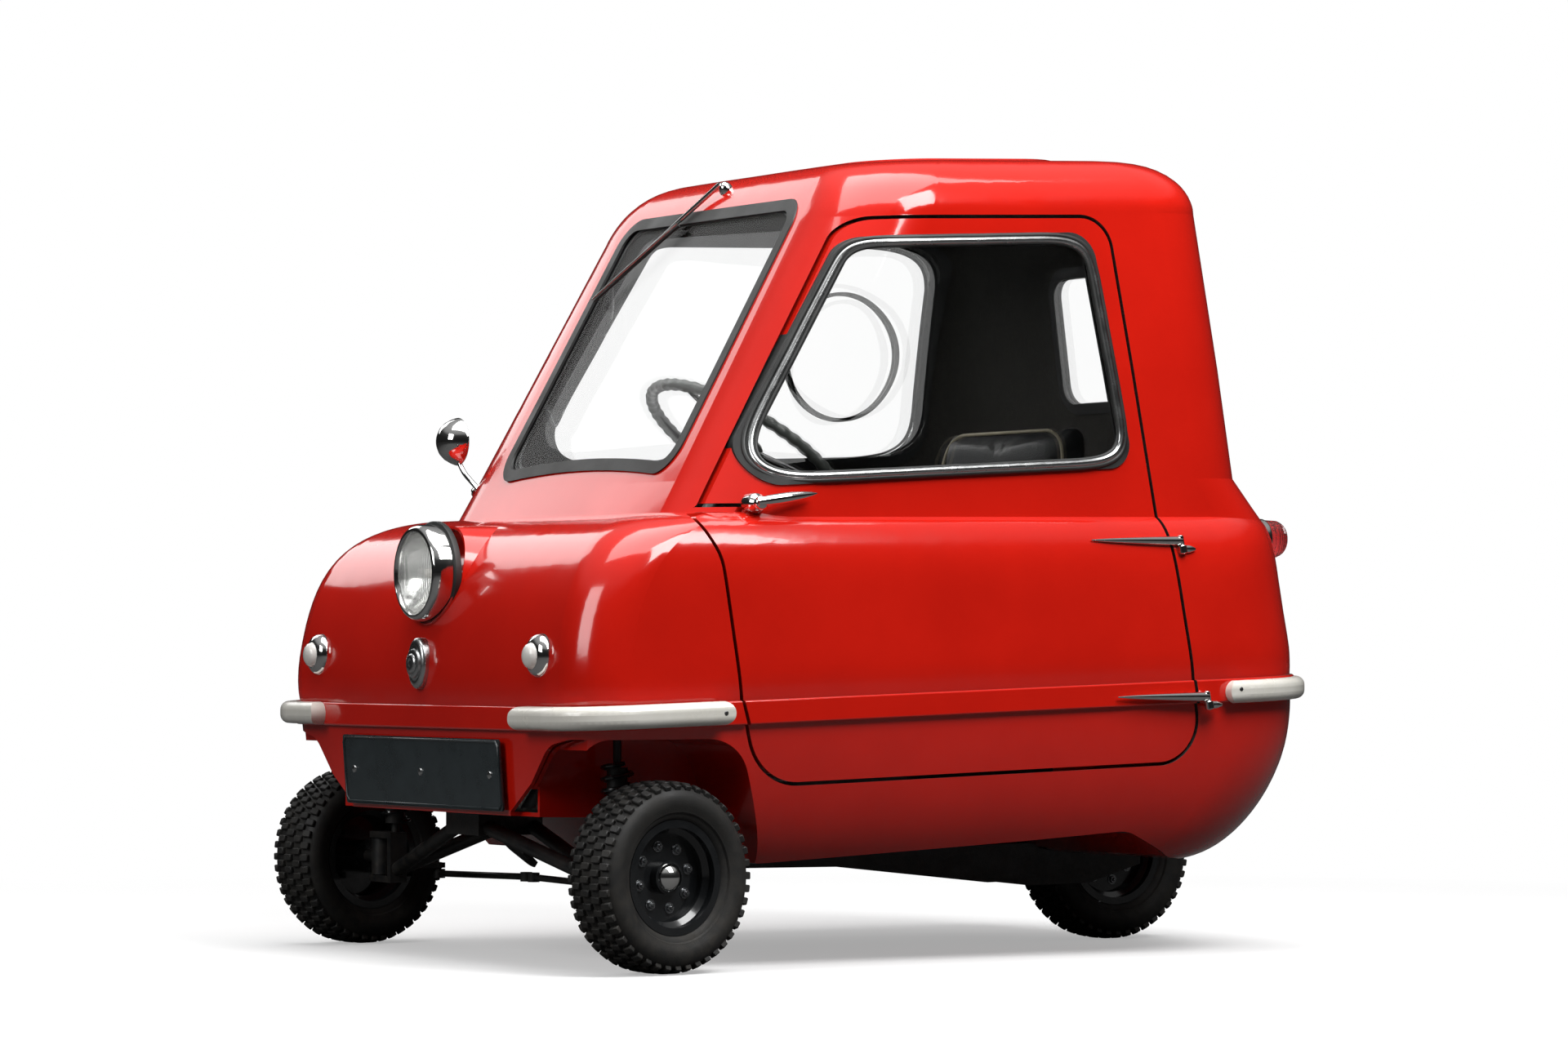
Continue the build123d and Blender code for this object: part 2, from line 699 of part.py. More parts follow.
HANDLE_BOSS = (178.0, 668.0)
with BuildPart() as door_handle:
    with BuildSketch(Plane.YZ.offset(400)):
        with Locations((at(HANDLE_BOSS[0]), HANDLE_BOSS[1])):
            Circle(12)
    extrude(amount=66)
    with BuildSketch(Plane.YZ.offset(462)):
        with BuildLine():
            Polyline((at(HANDLE_BOSS[0]) - 6, HANDLE_BOSS[1] - 8),
                     (at(HANDLE_BOSS[0]) + 92, HANDLE_BOSS[1] + 14),
                     (at(HANDLE_BOSS[0]) + 92, HANDLE_BOSS[1] + 22),
                     (at(HANDLE_BOSS[0]) - 10, HANDLE_BOSS[1] + 12), close=True)
        make_face()
    extrude(amount=12)
    add(FORM, mode=Mode.SUBTRACT)
save(door_handle.part, "door_handle")

# Mirror on the right of the scuttle
MIRROR_ELBOW = (-440, at(147), 744)
MIRROR_HEAD = (-446, at(139), 785)
with BuildPart() as mirror:
    add(cylinder_between((-360, at(170), 694), MIRROR_ELBOW, 4))
    add(cylinder_between(MIRROR_ELBOW, MIRROR_HEAD, 4))
    plane = Plane(origin=(-446, at(115), 785), x_dir=(0, 1, 0), z_dir=(1, 0, 0))
    add(turned(plane, [(0, 0), (4, 16), (14, 28), (30, 37), (36, 38), (36, 0)]))
    add(FORM, mode=Mode.SUBTRACT)
save(mirror.part, "mirror")

# Wiper: pivot above the windscreen, arm and blade down over the glass
with BuildPart() as wiper:
    add(cylinder_between((-14, at(424), 1130), (-14, at(377), 1175), 9))
    add(cylinder_between((-14, at(380), 1170), (-141, at(316), 1070), 3.5))
    add(cylinder_between((-74, at(341), 1111), (-234, at(279), 1001), 5))
    add(FORM, mode=Mode.SUBTRACT)
save(wiper.part, "wiper")

# Wheels: name, x, station, turn about the upright, side of the car its face looks to
WHEEL_OFFSET = TRACK / 2 - KINGPIN_X
WHEELS = []
for name, side in (("front_left", 1), ("front_right", -1)):
    turn = radians(REST_STEER)
    WHEELS.append((name, side * (KINGPIN_X + WHEEL_OFFSET * cos(turn)),
                   side * WHEEL_OFFSET * sin(turn), turn, side))
WHEELS.append(("rear", 0.0, WHEELBASE, 0.0, 1))


def wheel_plane(x, station, turn, side):
    """A plane through a wheel's centre, X out along its axle and Y up."""
    out = Vector(side * cos(turn), side * sin(turn), 0)
    return Plane(origin=(x, at(station), TYRE_RADIUS), x_dir=out,
                 z_dir=Vector(0, 0, 1).cross(out) * -1)


for name, x, station, turn, side in WHEELS:
    plane = wheel_plane(x, station, turn, side)
    half = TYRE_WIDTH / 2
    tyre = turned(plane, [
        (-half + 14, TYRE_RADIUS - 3), (-half + 26, TYRE_RADIUS), (half - 26, TYRE_RADIUS),
        (half - 14, TYRE_RADIUS - 3), (half - 4, TYRE_RADIUS - 14), (half, TYRE_RADIUS - 30),
        (half - 6, RIM_RADIUS + 8), (RIM_HALF_WIDTH, RIM_RADIUS + 0.5),
        (RIM_HALF_WIDTH - 3, RIM_RADIUS + 0.5),
        (RIM_HALF_WIDTH - 3, RIM_RADIUS - 8), (RIM_HALF_WIDTH - 12, RIM_RADIUS - 8),
        (half - 14, TYRE_RADIUS - 30), (half - 22, TYRE_RADIUS - 13),
        (-half + 22, TYRE_RADIUS - 13), (-half + 14, TYRE_RADIUS - 30),
        (-RIM_HALF_WIDTH + 12, RIM_RADIUS - 8), (-RIM_HALF_WIDTH + 3, RIM_RADIUS - 8),
        (-RIM_HALF_WIDTH + 3, RIM_RADIUS + 0.5), (-RIM_HALF_WIDTH, RIM_RADIUS + 0.5),
        (-half + 6, RIM_RADIUS + 8),
        (-half, TYRE_RADIUS - 30), (-half + 4, TYRE_RADIUS - 14),
    ])
    save(tyre, f"tyre_{name}")
    bore = AXLE_RADIUS + RUNNING_FIT
    rim = turned(plane, [
        (-RIM_HALF_WIDTH, RIM_RADIUS), (-RIM_HALF_WIDTH + 3, RIM_RADIUS),
        (-RIM_HALF_WIDTH + 3, RIM_RADIUS - 8), (-RIM_HALF_WIDTH + 14, RIM_RADIUS - 8),
        (-RIM_HALF_WIDTH + 20, RIM_RADIUS - 16), (RIM_HALF_WIDTH - 20, RIM_RADIUS - 16),
        (RIM_HALF_WIDTH - 14, RIM_RADIUS - 8), (RIM_HALF_WIDTH - 3, RIM_RADIUS - 8),
        (RIM_HALF_WIDTH - 3, RIM_RADIUS), (RIM_HALF_WIDTH, RIM_RADIUS),
        (RIM_HALF_WIDTH, RIM_RADIUS - 11), (RIM_HALF_WIDTH - 12, RIM_RADIUS - 11),
        (RIM_HALF_WIDTH - 18, RIM_RADIUS - 19), (8, RIM_RADIUS - 19), (8, HUB_RADIUS),
        (22, HUB_RADIUS), (22, bore), (-26, bore), (-26, HUB_RADIUS), (4, HUB_RADIUS),
        (4, RIM_RADIUS - 19), (-RIM_HALF_WIDTH + 18, RIM_RADIUS - 19),
        (-RIM_HALF_WIDTH + 12, RIM_RADIUS - 11), (-RIM_HALF_WIDTH, RIM_RADIUS - 11),
    ])
    if name != "rear":
        rim = joined(rim, turned(plane, [(CAP_START, 0), (CAP_START, 20), (28, 16), (34, 9), (36, 0)]))
    save(rim, f"rim_{name}")

# The steering column's line, turned with the wheels, and the tip of its drop arm
column_foot = Vector(COLUMN_X, at(COLUMN_FOOT[0]), COLUMN_FOOT[1])
column_head = Vector(COLUMN_X, at(COLUMN_HEAD[0]), COLUMN_HEAD[1])
column_axis = (column_head - column_foot).normalized()
column_turn = radians(REST_STEER / STEERING_RATIO)
back = column_axis.cross(Vector(1, 0, 0))
arm_x = Vector(1, 0, 0) * cos(column_turn) + back * sin(column_turn)
column_plane = Plane(origin=column_foot, x_dir=arm_x, z_dir=column_axis)
drop_arm_tip = column_foot + column_plane.y_dir * DROP_ARM

# Front suspension and steering, one of each on both sides
BRACKET_HALF = 54.0
FORK_X = (350.0, 424.0)
FORK_LOW = (98.0, 108.0)
FORK_HIGH = (166.0, 176.0)
ARM_RADIUS = 11.0
DAMPER_X = 362.0
EYE_OFFSET = 18.0
EYE_PIN = 4.0
EYE_HALF_HEIGHT = 7.0
ROD_Z = 108.0
ROD_INNER_Z = 118.0
ROD_END_SPACING = 24.0
ROD_END_RADIUS = 9.0
arms = []
dampers = []
for name, side in (("left", 1), ("right", -1)):
    fork_x = sorted((side * FORK_X[0], side * FORK_X[1]))
    arms.append(without(
        joined(
            block(fork_x, (-14, 14), FORK_LOW),
            block(fork_x, (-14, 14), FORK_HIGH),
            block(sorted((side * FORK_X[0], side * (FORK_X[0] + 12))), (-14, 14),
                  (FORK_LOW[0], FORK_HIGH[1])),
            cylinder_between((side * KINGPIN_X, at(0), FORK_LOW[0]),
                             (side * KINGPIN_X, at(0), FORK_HIGH[1]), KINGPIN_RADIUS),
            cylinder_between((side * 356, at(0), 118), (side * 40, at(-50), 198), ARM_RADIUS),
            cylinder_between((side * 356, at(0), 118), (side * 40, at(28), 198), ARM_RADIUS),
        ),
        block((-BRACKET_HALF, BRACKET_HALF), (-90, 60), (150, 260)),
    ))
    dampers.append(joined(
        cylinder_between((side * DAMPER_X, at(0), FORK_HIGH[1]), (side * DAMPER_X, at(0), ARCH_TOP), 6),
        cylinder_between((side * DAMPER_X, at(0), 190), (side * DAMPER_X, at(0), 290), 15),
    ))

    turn = radians(REST_STEER)
    frame = Plane(origin=(side * KINGPIN_X, at(0), 0), x_dir=(cos(turn), sin(turn), 0),
                  z_dir=(0, 0, 1))
    eye_spot = (side * -EYE_OFFSET, STEER_ARM)
    with BuildPart() as knuckle:
        with BuildSketch(frame.offset(FORK_LOW[1] + 1)):
            Circle(15)
        extrude(amount=FORK_HIGH[0] - FORK_LOW[1] - 2)
        with BuildSketch(frame.offset(117)):
            with BuildLine():
                Polyline((side * 6, 0), (side * -8, 0), (side * -26, STEER_ARM),
                         (side * -10, STEER_ARM), close=True)
            make_face()
            with Locations(eye_spot):
                Circle(10)
        extrude(amount=8)
        with BuildSketch(frame.offset(ROD_Z - EYE_HALF_HEIGHT)):
            with Locations(eye_spot):
                Circle(EYE_PIN)
        extrude(amount=18)
        axle_start = frame.from_local_coords(Vector(side * 8, 0, TYRE_RADIUS))
        axle_end = frame.from_local_coords(Vector(side * (WHEEL_OFFSET + CAP_START - 3), 0, TYRE_RADIUS))
        add(cylinder_between(axle_start, axle_end, AXLE_RADIUS))
        with BuildSketch(frame.offset(FORK_LOW[0])):
            Circle(KINGPIN_RADIUS + RUNNING_FIT)
        extrude(amount=FORK_HIGH[1] - FORK_LOW[0], mode=Mode.SUBTRACT)
    save(knuckle.part, f"knuckle_{name}")

    eye = frame.from_local_coords(Vector(eye_spot[0], eye_spot[1], ROD_Z))
    rod_end = Vector(drop_arm_tip.X + side * ROD_END_SPACING / 2, drop_arm_tip.Y, ROD_INNER_Z)
    along = (rod_end - eye).normalized()
    half_height = Vector(0, 0, EYE_HALF_HEIGHT)
    with BuildPart() as rod:
        add(cylinder_between(eye - half_height, eye + half_height, 10))
        add(cylinder_between(eye + along * 6, rod_end, 5))
        add(cylinder_between(rod_end - half_height, rod_end + half_height, ROD_END_RADIUS))
        with BuildSketch(Plane(origin=eye - half_height * 2)):
            Circle(EYE_PIN + RUNNING_FIT)
        extrude(amount=4 * EYE_HALF_HEIGHT, mode=Mode.SUBTRACT)
    save(rod.part, f"track_rod_{name}")
save(joined(*arms), "front_swing_arms")
save(joined(*dampers), "front_dampers")


def under_block(x_from, x_to, points):
    """A piece hung below the floor: side outline whose top follows the underside."""
    return without(side_prism(points, 0, x_from, x_to), OUTER_FLOOR)


OUTER_FLOOR = without(OUTER, underside_prism(0))
BRACKET_OUTLINE = [(-66, 184, 0), (-66, 240, 0), (40, 240, 0), (40, 184, 0)]
save(without(under_block(-BRACKET_HALF, BRACKET_HALF, BRACKET_OUTLINE), COLUMN_HOLE), "front_bracket")

# Steering wheel, column and drop arm, turned with the wheels
with BuildPart() as steering_column:
    with BuildSketch(column_plane):
        Circle(COLUMN_RADIUS)
    extrude(amount=(column_head - column_foot).length)
    with BuildSketch(column_plane):
        Circle(14)
        with BuildLine():
            Polyline((-12, 0), (12, 0), (15, 25), (DROP_ARM_TIP, DROP_ARM), (-DROP_ARM_TIP, DROP_ARM),
                     (-15, 25), close=True)
        make_face()
        with Locations((0, DROP_ARM)):
            Circle(DROP_ARM_TIP)
    extrude(amount=8)
save(steering_column.part, "steering_column")

wheel_rim_plane = Plane(origin=column_head, x_dir=column_plane.x_dir, z_dir=column_axis)
with BuildPart() as steering_wheel:
    with BuildSketch(wheel_rim_plane):
        Circle(26)
    extrude(amount=24)
    with BuildSketch(wheel_rim_plane.offset(4)):
        for spoke in (90, 210, 330):
            with Locations((STEERING_WHEEL_RADIUS / 2 * cos(radians(spoke)),
                            STEERING_WHEEL_RADIUS / 2 * sin(radians(spoke)))):
                Rectangle(STEERING_WHEEL_RADIUS, 14, rotation=spoke)
    extrude(amount=6)
    with BuildSketch(Plane(origin=column_head + column_axis * 12, x_dir=column_plane.x_dir,
                           z_dir=column_plane.y_dir)):
        with Locations((STEERING_WHEEL_RADIUS, 0)):
            Circle(9)
    revolve(axis=Axis(column_head, column_axis))
save(steering_wheel.part, "steering_wheel")

bracket_point = column_foot + column_axis * 500
with BuildPart() as column_bracket:
    add(cylinder_between(bracket_point - column_axis * 20, bracket_point + column_axis * 20, 18))
    add(cylinder_between(bracket_point, bracket_point + Vector(0, -320, 60), 9))
    add(cylinder_between(bracket_point - column_axis * 40, bracket_point + column_axis * 40,
                         COLUMN_RADIUS + RUNNING_FIT), mode=Mode.SUBTRACT)
    add(HOLLOW, mode=Mode.INTERSECT)
save(column_bracket.part, "column_bracket")

# Rear suspension
RAIL_X = (58.0, 66.0)
RAIL_OUTLINE = [
    (290, 128, 0),
    (290, 230, 0),
    (400, 230, 0),
    (400, 148, 0),
    (1000, 158, 0),
    (1096, 152, 0),
    (1096, 120, 0),
    (1000, 92, 0),
    (890, 90, 0),
    (560, 126, 0),
]
rails = joined(
    side_prism(RAIL_OUTLINE, 0, RAIL_X[0], RAIL_X[1]),
    side_prism(RAIL_OUTLINE, 0, -RAIL_X[1], -RAIL_X[0]),
    block((-62, 62), (320, 350), (130, 146)),
    cylinder_between((-62, at(WHEELBASE), TYRE_RADIUS), (62, at(WHEELBASE), TYRE_RADIUS),
                     AXLE_RADIUS),
)
save(without(rails, OUTER_FLOOR), "rear_swing_arm")

# Cabin fittings
save(within(block((-110, 240), (560, 820), (150, 300)), HOLLOW), "seat_base")
SEAT_X = (-120.0, 250.0)
CUSHION_TOP = 372.0
SOFT_CLEARANCE = 0.3
save(block(SEAT_X, (545, 850), (300.5, CUSHION_TOP)), "seat_cushion")
with BuildPart() as seat_back:
    with BuildSketch(Plane.YZ.offset(SEAT_X[0])):
        with BuildLine():
            FilletPolyline((at(782), CUSHION_TOP + SOFT_CLEARANCE), (at(846), CUSHION_TOP + SOFT_CLEARANCE),
                           (at(900), 812), (at(850), 822), radius=[8, 8, 24, 24], close=True)
        make_face()
    extrude(amount=SEAT_X[1] - SEAT_X[0])
save(seat_back.part, "seat_back")
save(within(block((-330, -160), (560, 760), (150, 400)), HOLLOW), "engine")
cover = without(block((-345, -140), (540, 780), (150, 418)),
                block((-341, -144), (544, 776), (100, 414)))
save(within(cover, HOLLOW), "engine_cover")

PEDAL_X = (-110.0, -55.0, 80.0)
with BuildPart() as pedals:
    for x in PEDAL_X:
        add(block((x - 5, x + 5), (40, 52), (200, 300)))
        add(block((x - 22, x + 22), (52, 58), (270, 320)))
    add(HOLLOW, mode=Mode.INTERSECT)
save(pedals.part, "pedals")

gear_lever = joined(block((-150, -120), (380, 430), (140, 190)),
                    cylinder_between((-135, at(405), 180), (-135, at(380), 420), 5),
                    cylinder_between((-135, at(380), 415), (-135, at(378), 445), 14))
save(within(gear_lever, HOLLOW), "gear_lever")
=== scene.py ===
"""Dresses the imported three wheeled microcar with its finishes, tread, trim, seat and springs.

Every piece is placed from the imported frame, in metres, with +Z up, the nose to -Y and the door on
the +X side. A small stage with a pale floor, soft lights and one camera shows the car.
"""

import json
import logging
import math
from collections.abc import Sequence
from dataclasses import dataclass
from enum import Enum

import bmesh
import bpy
from mathutils import Matrix, Vector
from mathutils.bvhtree import BVHTree


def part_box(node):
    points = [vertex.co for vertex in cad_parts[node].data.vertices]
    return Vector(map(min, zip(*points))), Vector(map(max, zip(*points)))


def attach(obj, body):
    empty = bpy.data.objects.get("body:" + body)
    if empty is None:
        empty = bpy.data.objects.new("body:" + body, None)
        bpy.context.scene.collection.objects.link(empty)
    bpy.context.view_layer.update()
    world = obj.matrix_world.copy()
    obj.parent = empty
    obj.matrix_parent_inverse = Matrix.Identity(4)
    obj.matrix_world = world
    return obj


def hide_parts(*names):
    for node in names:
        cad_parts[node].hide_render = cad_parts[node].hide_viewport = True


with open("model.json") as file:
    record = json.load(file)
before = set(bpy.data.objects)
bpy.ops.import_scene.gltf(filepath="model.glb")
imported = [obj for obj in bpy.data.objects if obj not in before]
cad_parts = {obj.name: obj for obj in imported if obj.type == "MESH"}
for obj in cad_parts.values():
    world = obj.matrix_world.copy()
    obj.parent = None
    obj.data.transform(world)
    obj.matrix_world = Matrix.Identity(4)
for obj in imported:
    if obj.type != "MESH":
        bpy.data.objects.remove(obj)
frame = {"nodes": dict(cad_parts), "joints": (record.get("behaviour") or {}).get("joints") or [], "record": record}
LOG = logging.getLogger("microcar")

Colour = tuple[float, float, float]
Outline = Sequence[tuple[float, float]]

MM = 0.001
FULL_TURN = 2 * math.pi
SMOOTH_ANGLE = math.radians(38)
# The windscreen's ends: how far behind the front axle, and how high
SCREEN_FOOT = (0.130, 0.722)
SCREEN_HEAD = (0.365, 1.121)


class Slot(str, Enum):
    """The record's material slots."""

    SHELL = "red_shell"
    WINDOW = "window_glass"
    LENS = "lens_glass"
    RUBBER = "black_rubber"
    BUMPER = "white_enamel"
    PLATE = "black_plate"
    CHROME = "bright_chrome"
    RED_LENS = "red_lens"
    TYRE = "black_tyre"
    BLACK_ENAMEL = "black_enamel"
    STEEL = "dark_steel"
    GREY_PLASTIC = "grey_plastic"
    LEATHERCLOTH = "black_leathercloth"
    LINING = "black_lining"
    ALLOY = "cast_alloy"


class Graph:
    """A node tree that is being wired."""

    def __init__(self, tree: bpy.types.NodeTree) -> None:
        """Start on an empty tree.

        Args:
            tree: the tree to fill.
        """
        self.tree = tree
        tree.nodes.clear()

    def node(self, kind: str, inputs: dict | None = None, **settings: object) -> bpy.types.Node:
        """Add one node and wire or set its inputs.

        Args:
            kind: the node's type name.
            inputs: for each input's name or number, a socket to link or a value to set.
            settings: the node's own properties.

        Returns:
            The new node.
        """
        made = self.tree.nodes.new(kind)
        for key, value in settings.items():
            setattr(made, key, value)
        for key, value in (inputs or {}).items():
            socket = made.inputs[key]
            if isinstance(value, bpy.types.NodeSocket):
                self.tree.links.new(value, socket)
            else:
                socket.default_value = value
        return made

    def maths(self, operation: str, first: object, second: object = 0.0) -> bpy.types.NodeSocket:
        """Add one Math node.

        Args:
            operation: the node's operation.
            first: the first value or socket.
            second: the second value or socket.

        Returns:
            The node's output.
        """
        return self.node("ShaderNodeMath", {0: first, 1: second}, operation=operation).outputs[0]

    def between(self, mask: bpy.types.NodeSocket, low: object,
                high: object) -> bpy.types.NodeSocket:
        """Blend two colours by a mask.

        Args:
            mask: 0 for low, 1 for high.
            low: a colour or a colour socket.
            high: a colour or a colour socket.

        Returns:
            The blended colour.
        """
        mix = self.node("ShaderNodeMix", data_type="RGBA")
        self.tree.links.new(mask, mix.inputs[0])
        for socket, value in ((mix.inputs[6], low), (mix.inputs[7], high)):
            if isinstance(value, bpy.types.NodeSocket):
                self.tree.links.new(value, socket)
            else:
                socket.default_value = (*value, 1.0)
        return mix.outputs[2]

    def span(self, value: bpy.types.NodeSocket, low: float, high: float) -> bpy.types.NodeSocket:
        """Stretch a 0 to 1 value over a new range.

        Args:
            value: the value to stretch.
            low: what 0 becomes.
            high: what 1 becomes.

        Returns:
            The stretched value.
        """
        return self.node("ShaderNodeMapRange", {0: value, 3: low, 4: high}).outputs[0]


class Groups:
    """The shared effects, each a node group that is made once."""

    made: dict[str, bpy.types.NodeTree] = {}

    @classmethod
    def start(cls, name: str, inputs: Sequence[tuple[str, str, float]],
              outputs: Sequence[str]) -> tuple[Graph, bpy.types.Node, bpy.types.Node]:
        """Make an empty group with its sockets.

        Args:
            name: the group's name.
            inputs: name, socket type and default of each input.
            outputs: names of the value outputs.

        Returns:
            The graph, its input node and its output node.
        """
        tree = bpy.data.node_groups.new(name, "ShaderNodeTree")
        for label, kind, default in inputs:
            socket = tree.interface.new_socket(name=label, in_out="INPUT", socket_type=kind)
            if kind == "NodeSocketFloat":
                socket.default_value = default
        for label in outputs:
            tree.interface.new_socket(name=label, in_out="OUTPUT", socket_type="NodeSocketFloat")
        graph = Graph(tree)
        cls.made[name] = tree
        return graph, graph.node("NodeGroupInput"), graph.node("NodeGroupOutput")

    @classmethod
    def mottle(cls) -> bpy.types.NodeTree:
        """Slow change over a surface, as a mask.

        Returns:
            The group, with Vector and Scale in and Mask out.
        """
        if "mottle" not in cls.made:
            graph, source, result = cls.start(
                "mottle", [("Vector", "NodeSocketVector", 0), ("Scale", "NodeSocketFloat", 9.0)],
                ["Mask"])
            noise = graph.node("ShaderNodeTexNoise", {"Vector": source.outputs[0],
                                                      "Scale": source.outputs[1],
                                                      "Detail": 4.0, "Roughness": 0.55})
            mask = graph.node("ShaderNodeMapRange", {0: noise.outputs[0], 1: 0.35, 2: 0.65})
            graph.tree.links.new(mask.outputs[0], result.inputs[0])
        return cls.made["mottle"]

    @classmethod
    def grain(cls) -> bpy.types.NodeTree:
        """Fine cells and noise for moulded, cast and grained surfaces, as a height.

        Returns:
            The group, with Vector and Scale in and Height out.
        """
        if "grain" not in cls.made:
            graph, source, result = cls.start(
                "grain", [("Vector", "NodeSocketVector", 0), ("Scale", "NodeSocketFloat", 400.0)],
                ["Height"])
            noise = graph.node("ShaderNodeTexNoise", {"Vector": source.outputs[0],
                                                      "Scale": source.outputs[1], "Detail": 3.0})
            cells = graph.node("ShaderNodeTexVoronoi", {"Vector": source.outputs[0],
                                                        "Scale": source.outputs[1]})
            height = graph.maths("ADD", noise.outputs[0], cells.outputs[0])
            graph.tree.links.new(height, result.inputs[0])
        return cls.made["grain"]

    @classmethod
    def road_dust(cls) -> bpy.types.NodeTree:
        """Dust that gathers low on the car, as a mask.

        Returns:
            The group, with Vector and Reach in and Mask out.
        """
        if "road_dust" not in cls.made:
            graph, source, result = cls.start(
                "road_dust", [("Vector", "NodeSocketVector", 0), ("Reach", "NodeSocketFloat", 0.3)],
                ["Mask"])
            height = graph.node("ShaderNodeSeparateXYZ", {0: source.outputs[0]}).outputs[2]
            share = graph.maths("DIVIDE", height, source.outputs[1])
            low = graph.node("ShaderNodeMapRange", {0: share, 3: 1.0, 4: 0.0}).outputs[0]
            specks = graph.node("ShaderNodeTexNoise", {"Vector": source.outputs[0], "Scale": 60.0,
                                                       "Detail": 6.0})
            patchy = graph.node("ShaderNodeMapRange", {0: specks.outputs[0], 1: 0.4, 2: 0.7})
            mask = graph.maths("MULTIPLY", low, patchy.outputs[0])
            graph.tree.links.new(mask, result.inputs[0])
        return cls.made["road_dust"]


@dataclass(frozen=True)
class Finish:
    """One surface finish with its colour change, gloss, grain and dust at their real scale."""

    slot: Slot
    colour: Colour
    other: Colour
    roughness: tuple[float, float] = (0.3, 0.4)
    metallic: float = 0.0
    coat: float = 0.0
    mottle: float = 14.0
    grain: float = 600.0
    depth: float = 0.0
    dust: float = 0.0
    dust_colour: Colour = (0.05, 0.042, 0.034)
    suffix: str = ""

    def surface(self, graph: Graph) -> bpy.types.Node:
        """Wire the surface shader and what varies over it.

        Args:
            graph: the material's tree.

        Returns:
            The surface shader.
        """
        place = graph.node("ShaderNodeTexCoord").outputs["Object"]
        mask = graph.node("ShaderNodeGroup", node_tree=Groups.mottle())
        graph.tree.links.new(place, mask.inputs["Vector"])
        mask.inputs["Scale"].default_value = self.mottle
        colour = graph.between(mask.outputs[0], self.colour, self.other)
        rough = graph.span(mask.outputs[0], *self.roughness)
        if self.dust:
            dust = graph.node("ShaderNodeGroup", {"Vector": place, "Reach": self.dust},
                              node_tree=Groups.road_dust())
            colour = graph.between(dust.outputs[0], colour, self.dust_colour)
            rough = graph.maths("MAXIMUM", rough, dust.outputs[0])
        shader = graph.node("ShaderNodeBsdfPrincipled", {
            "Base Color": colour, "Roughness": rough, "Metallic": self.metallic,
            "Coat Weight": self.coat, "Coat Roughness": 0.03,
        })
        if self.depth:
            grain = graph.node("ShaderNodeGroup", {"Vector": place, "Scale": self.grain},
                               node_tree=Groups.grain())
            bump = graph.node("ShaderNodeBump", {"Distance": self.depth,
                                                 "Height": grain.outputs[0]})
            graph.tree.links.new(bump.outputs[0], shader.inputs["Normal"])
        return shader

    def material(self) -> bpy.types.Material:
        """Make the material, or give the one that was made before.

        Returns:
            The finished material.
        """
        name = self.slot.value + self.suffix
        known = bpy.data.materials.get(name + "_finish")
        if known:
            return known
        made = bpy.data.materials.new(name + "_finish")
        made.use_nodes = True
        graph = Graph(made.node_tree)
        shader = self.surface(graph)
        graph.node("ShaderNodeOutputMaterial", {"Surface": shader.outputs[0]})
        return made


@dataclass(frozen=True)
class ShellFinish(Finish):
    """Glossy red moulding outside, dark cloth lining on every face that looks into the cabin."""

    middle: tuple[float, float, float] = (0.0, 0.05, 0.5)
    lining: Colour = (0.028, 0.026, 0.023)
    lining_other: Colour = (0.05, 0.047, 0.041)
    lining_roughness: float = 0.85
    peel_depth: float = 0.00012
    nap_depth: float = 0.0008

    def surface(self, graph: Graph) -> bpy.types.Node:
        """Wire the shell, split into outside and inside by where its faces look."""
        shader = Finish.surface(self, graph)
        coordinates = graph.node("ShaderNodeTexCoord")
        place = coordinates.outputs["Object"]
        away = graph.node("ShaderNodeVectorMath", {0: place, 1: self.middle}, operation="SUBTRACT")
        facing = graph.node("ShaderNodeVectorMath", {0: away.outputs[0],
                                                     1: coordinates.outputs["Normal"]},
                            operation="DOT_PRODUCT")
        inside = graph.maths("LESS_THAN", facing.outputs["Value"], 0.0)
        red = shader.inputs["Base Color"].links[0].from_socket
        rough = shader.inputs["Roughness"].links[0].from_socket
        cloth = graph.node("ShaderNodeTexNoise", {"Vector": place, "Scale": 160.0, "Detail": 5.0})
        lining = graph.between(cloth.outputs[0], self.lining, self.lining_other)
        colour = graph.between(inside, red, lining)
        rough = graph.maths("MAXIMUM", rough,
                            graph.maths("MULTIPLY", inside, self.lining_roughness))
        coat = graph.node("ShaderNodeMapRange", {0: inside, 3: self.coat, 4: 0.0})
        peel = graph.node("ShaderNodeTexNoise", {"Vector": place, "Scale": 55.0, "Detail": 1.0})
        weave = graph.node("ShaderNodeTexVoronoi", {"Vector": place, "Scale": 380.0})
        nap = graph.maths("MULTIPLY", weave.outputs[0], inside)
        bump = graph.node("ShaderNodeBump", {"Distance": self.peel_depth, "Strength": 0.5,
                                             "Height": peel.outputs[0]})
        cloth_bump = graph.node("ShaderNodeBump", {"Distance": self.nap_depth, "Height": nap,
                                                   "Normal": bump.outputs[0]})
        for socket, target in ((colour, "Base Color"), (rough, "Roughness"),
                               (coat.outputs[0], "Coat Weight"),
                               (cloth_bump.outputs[0], "Normal")):
            graph.tree.links.new(socket, shader.inputs[target])
        return shader


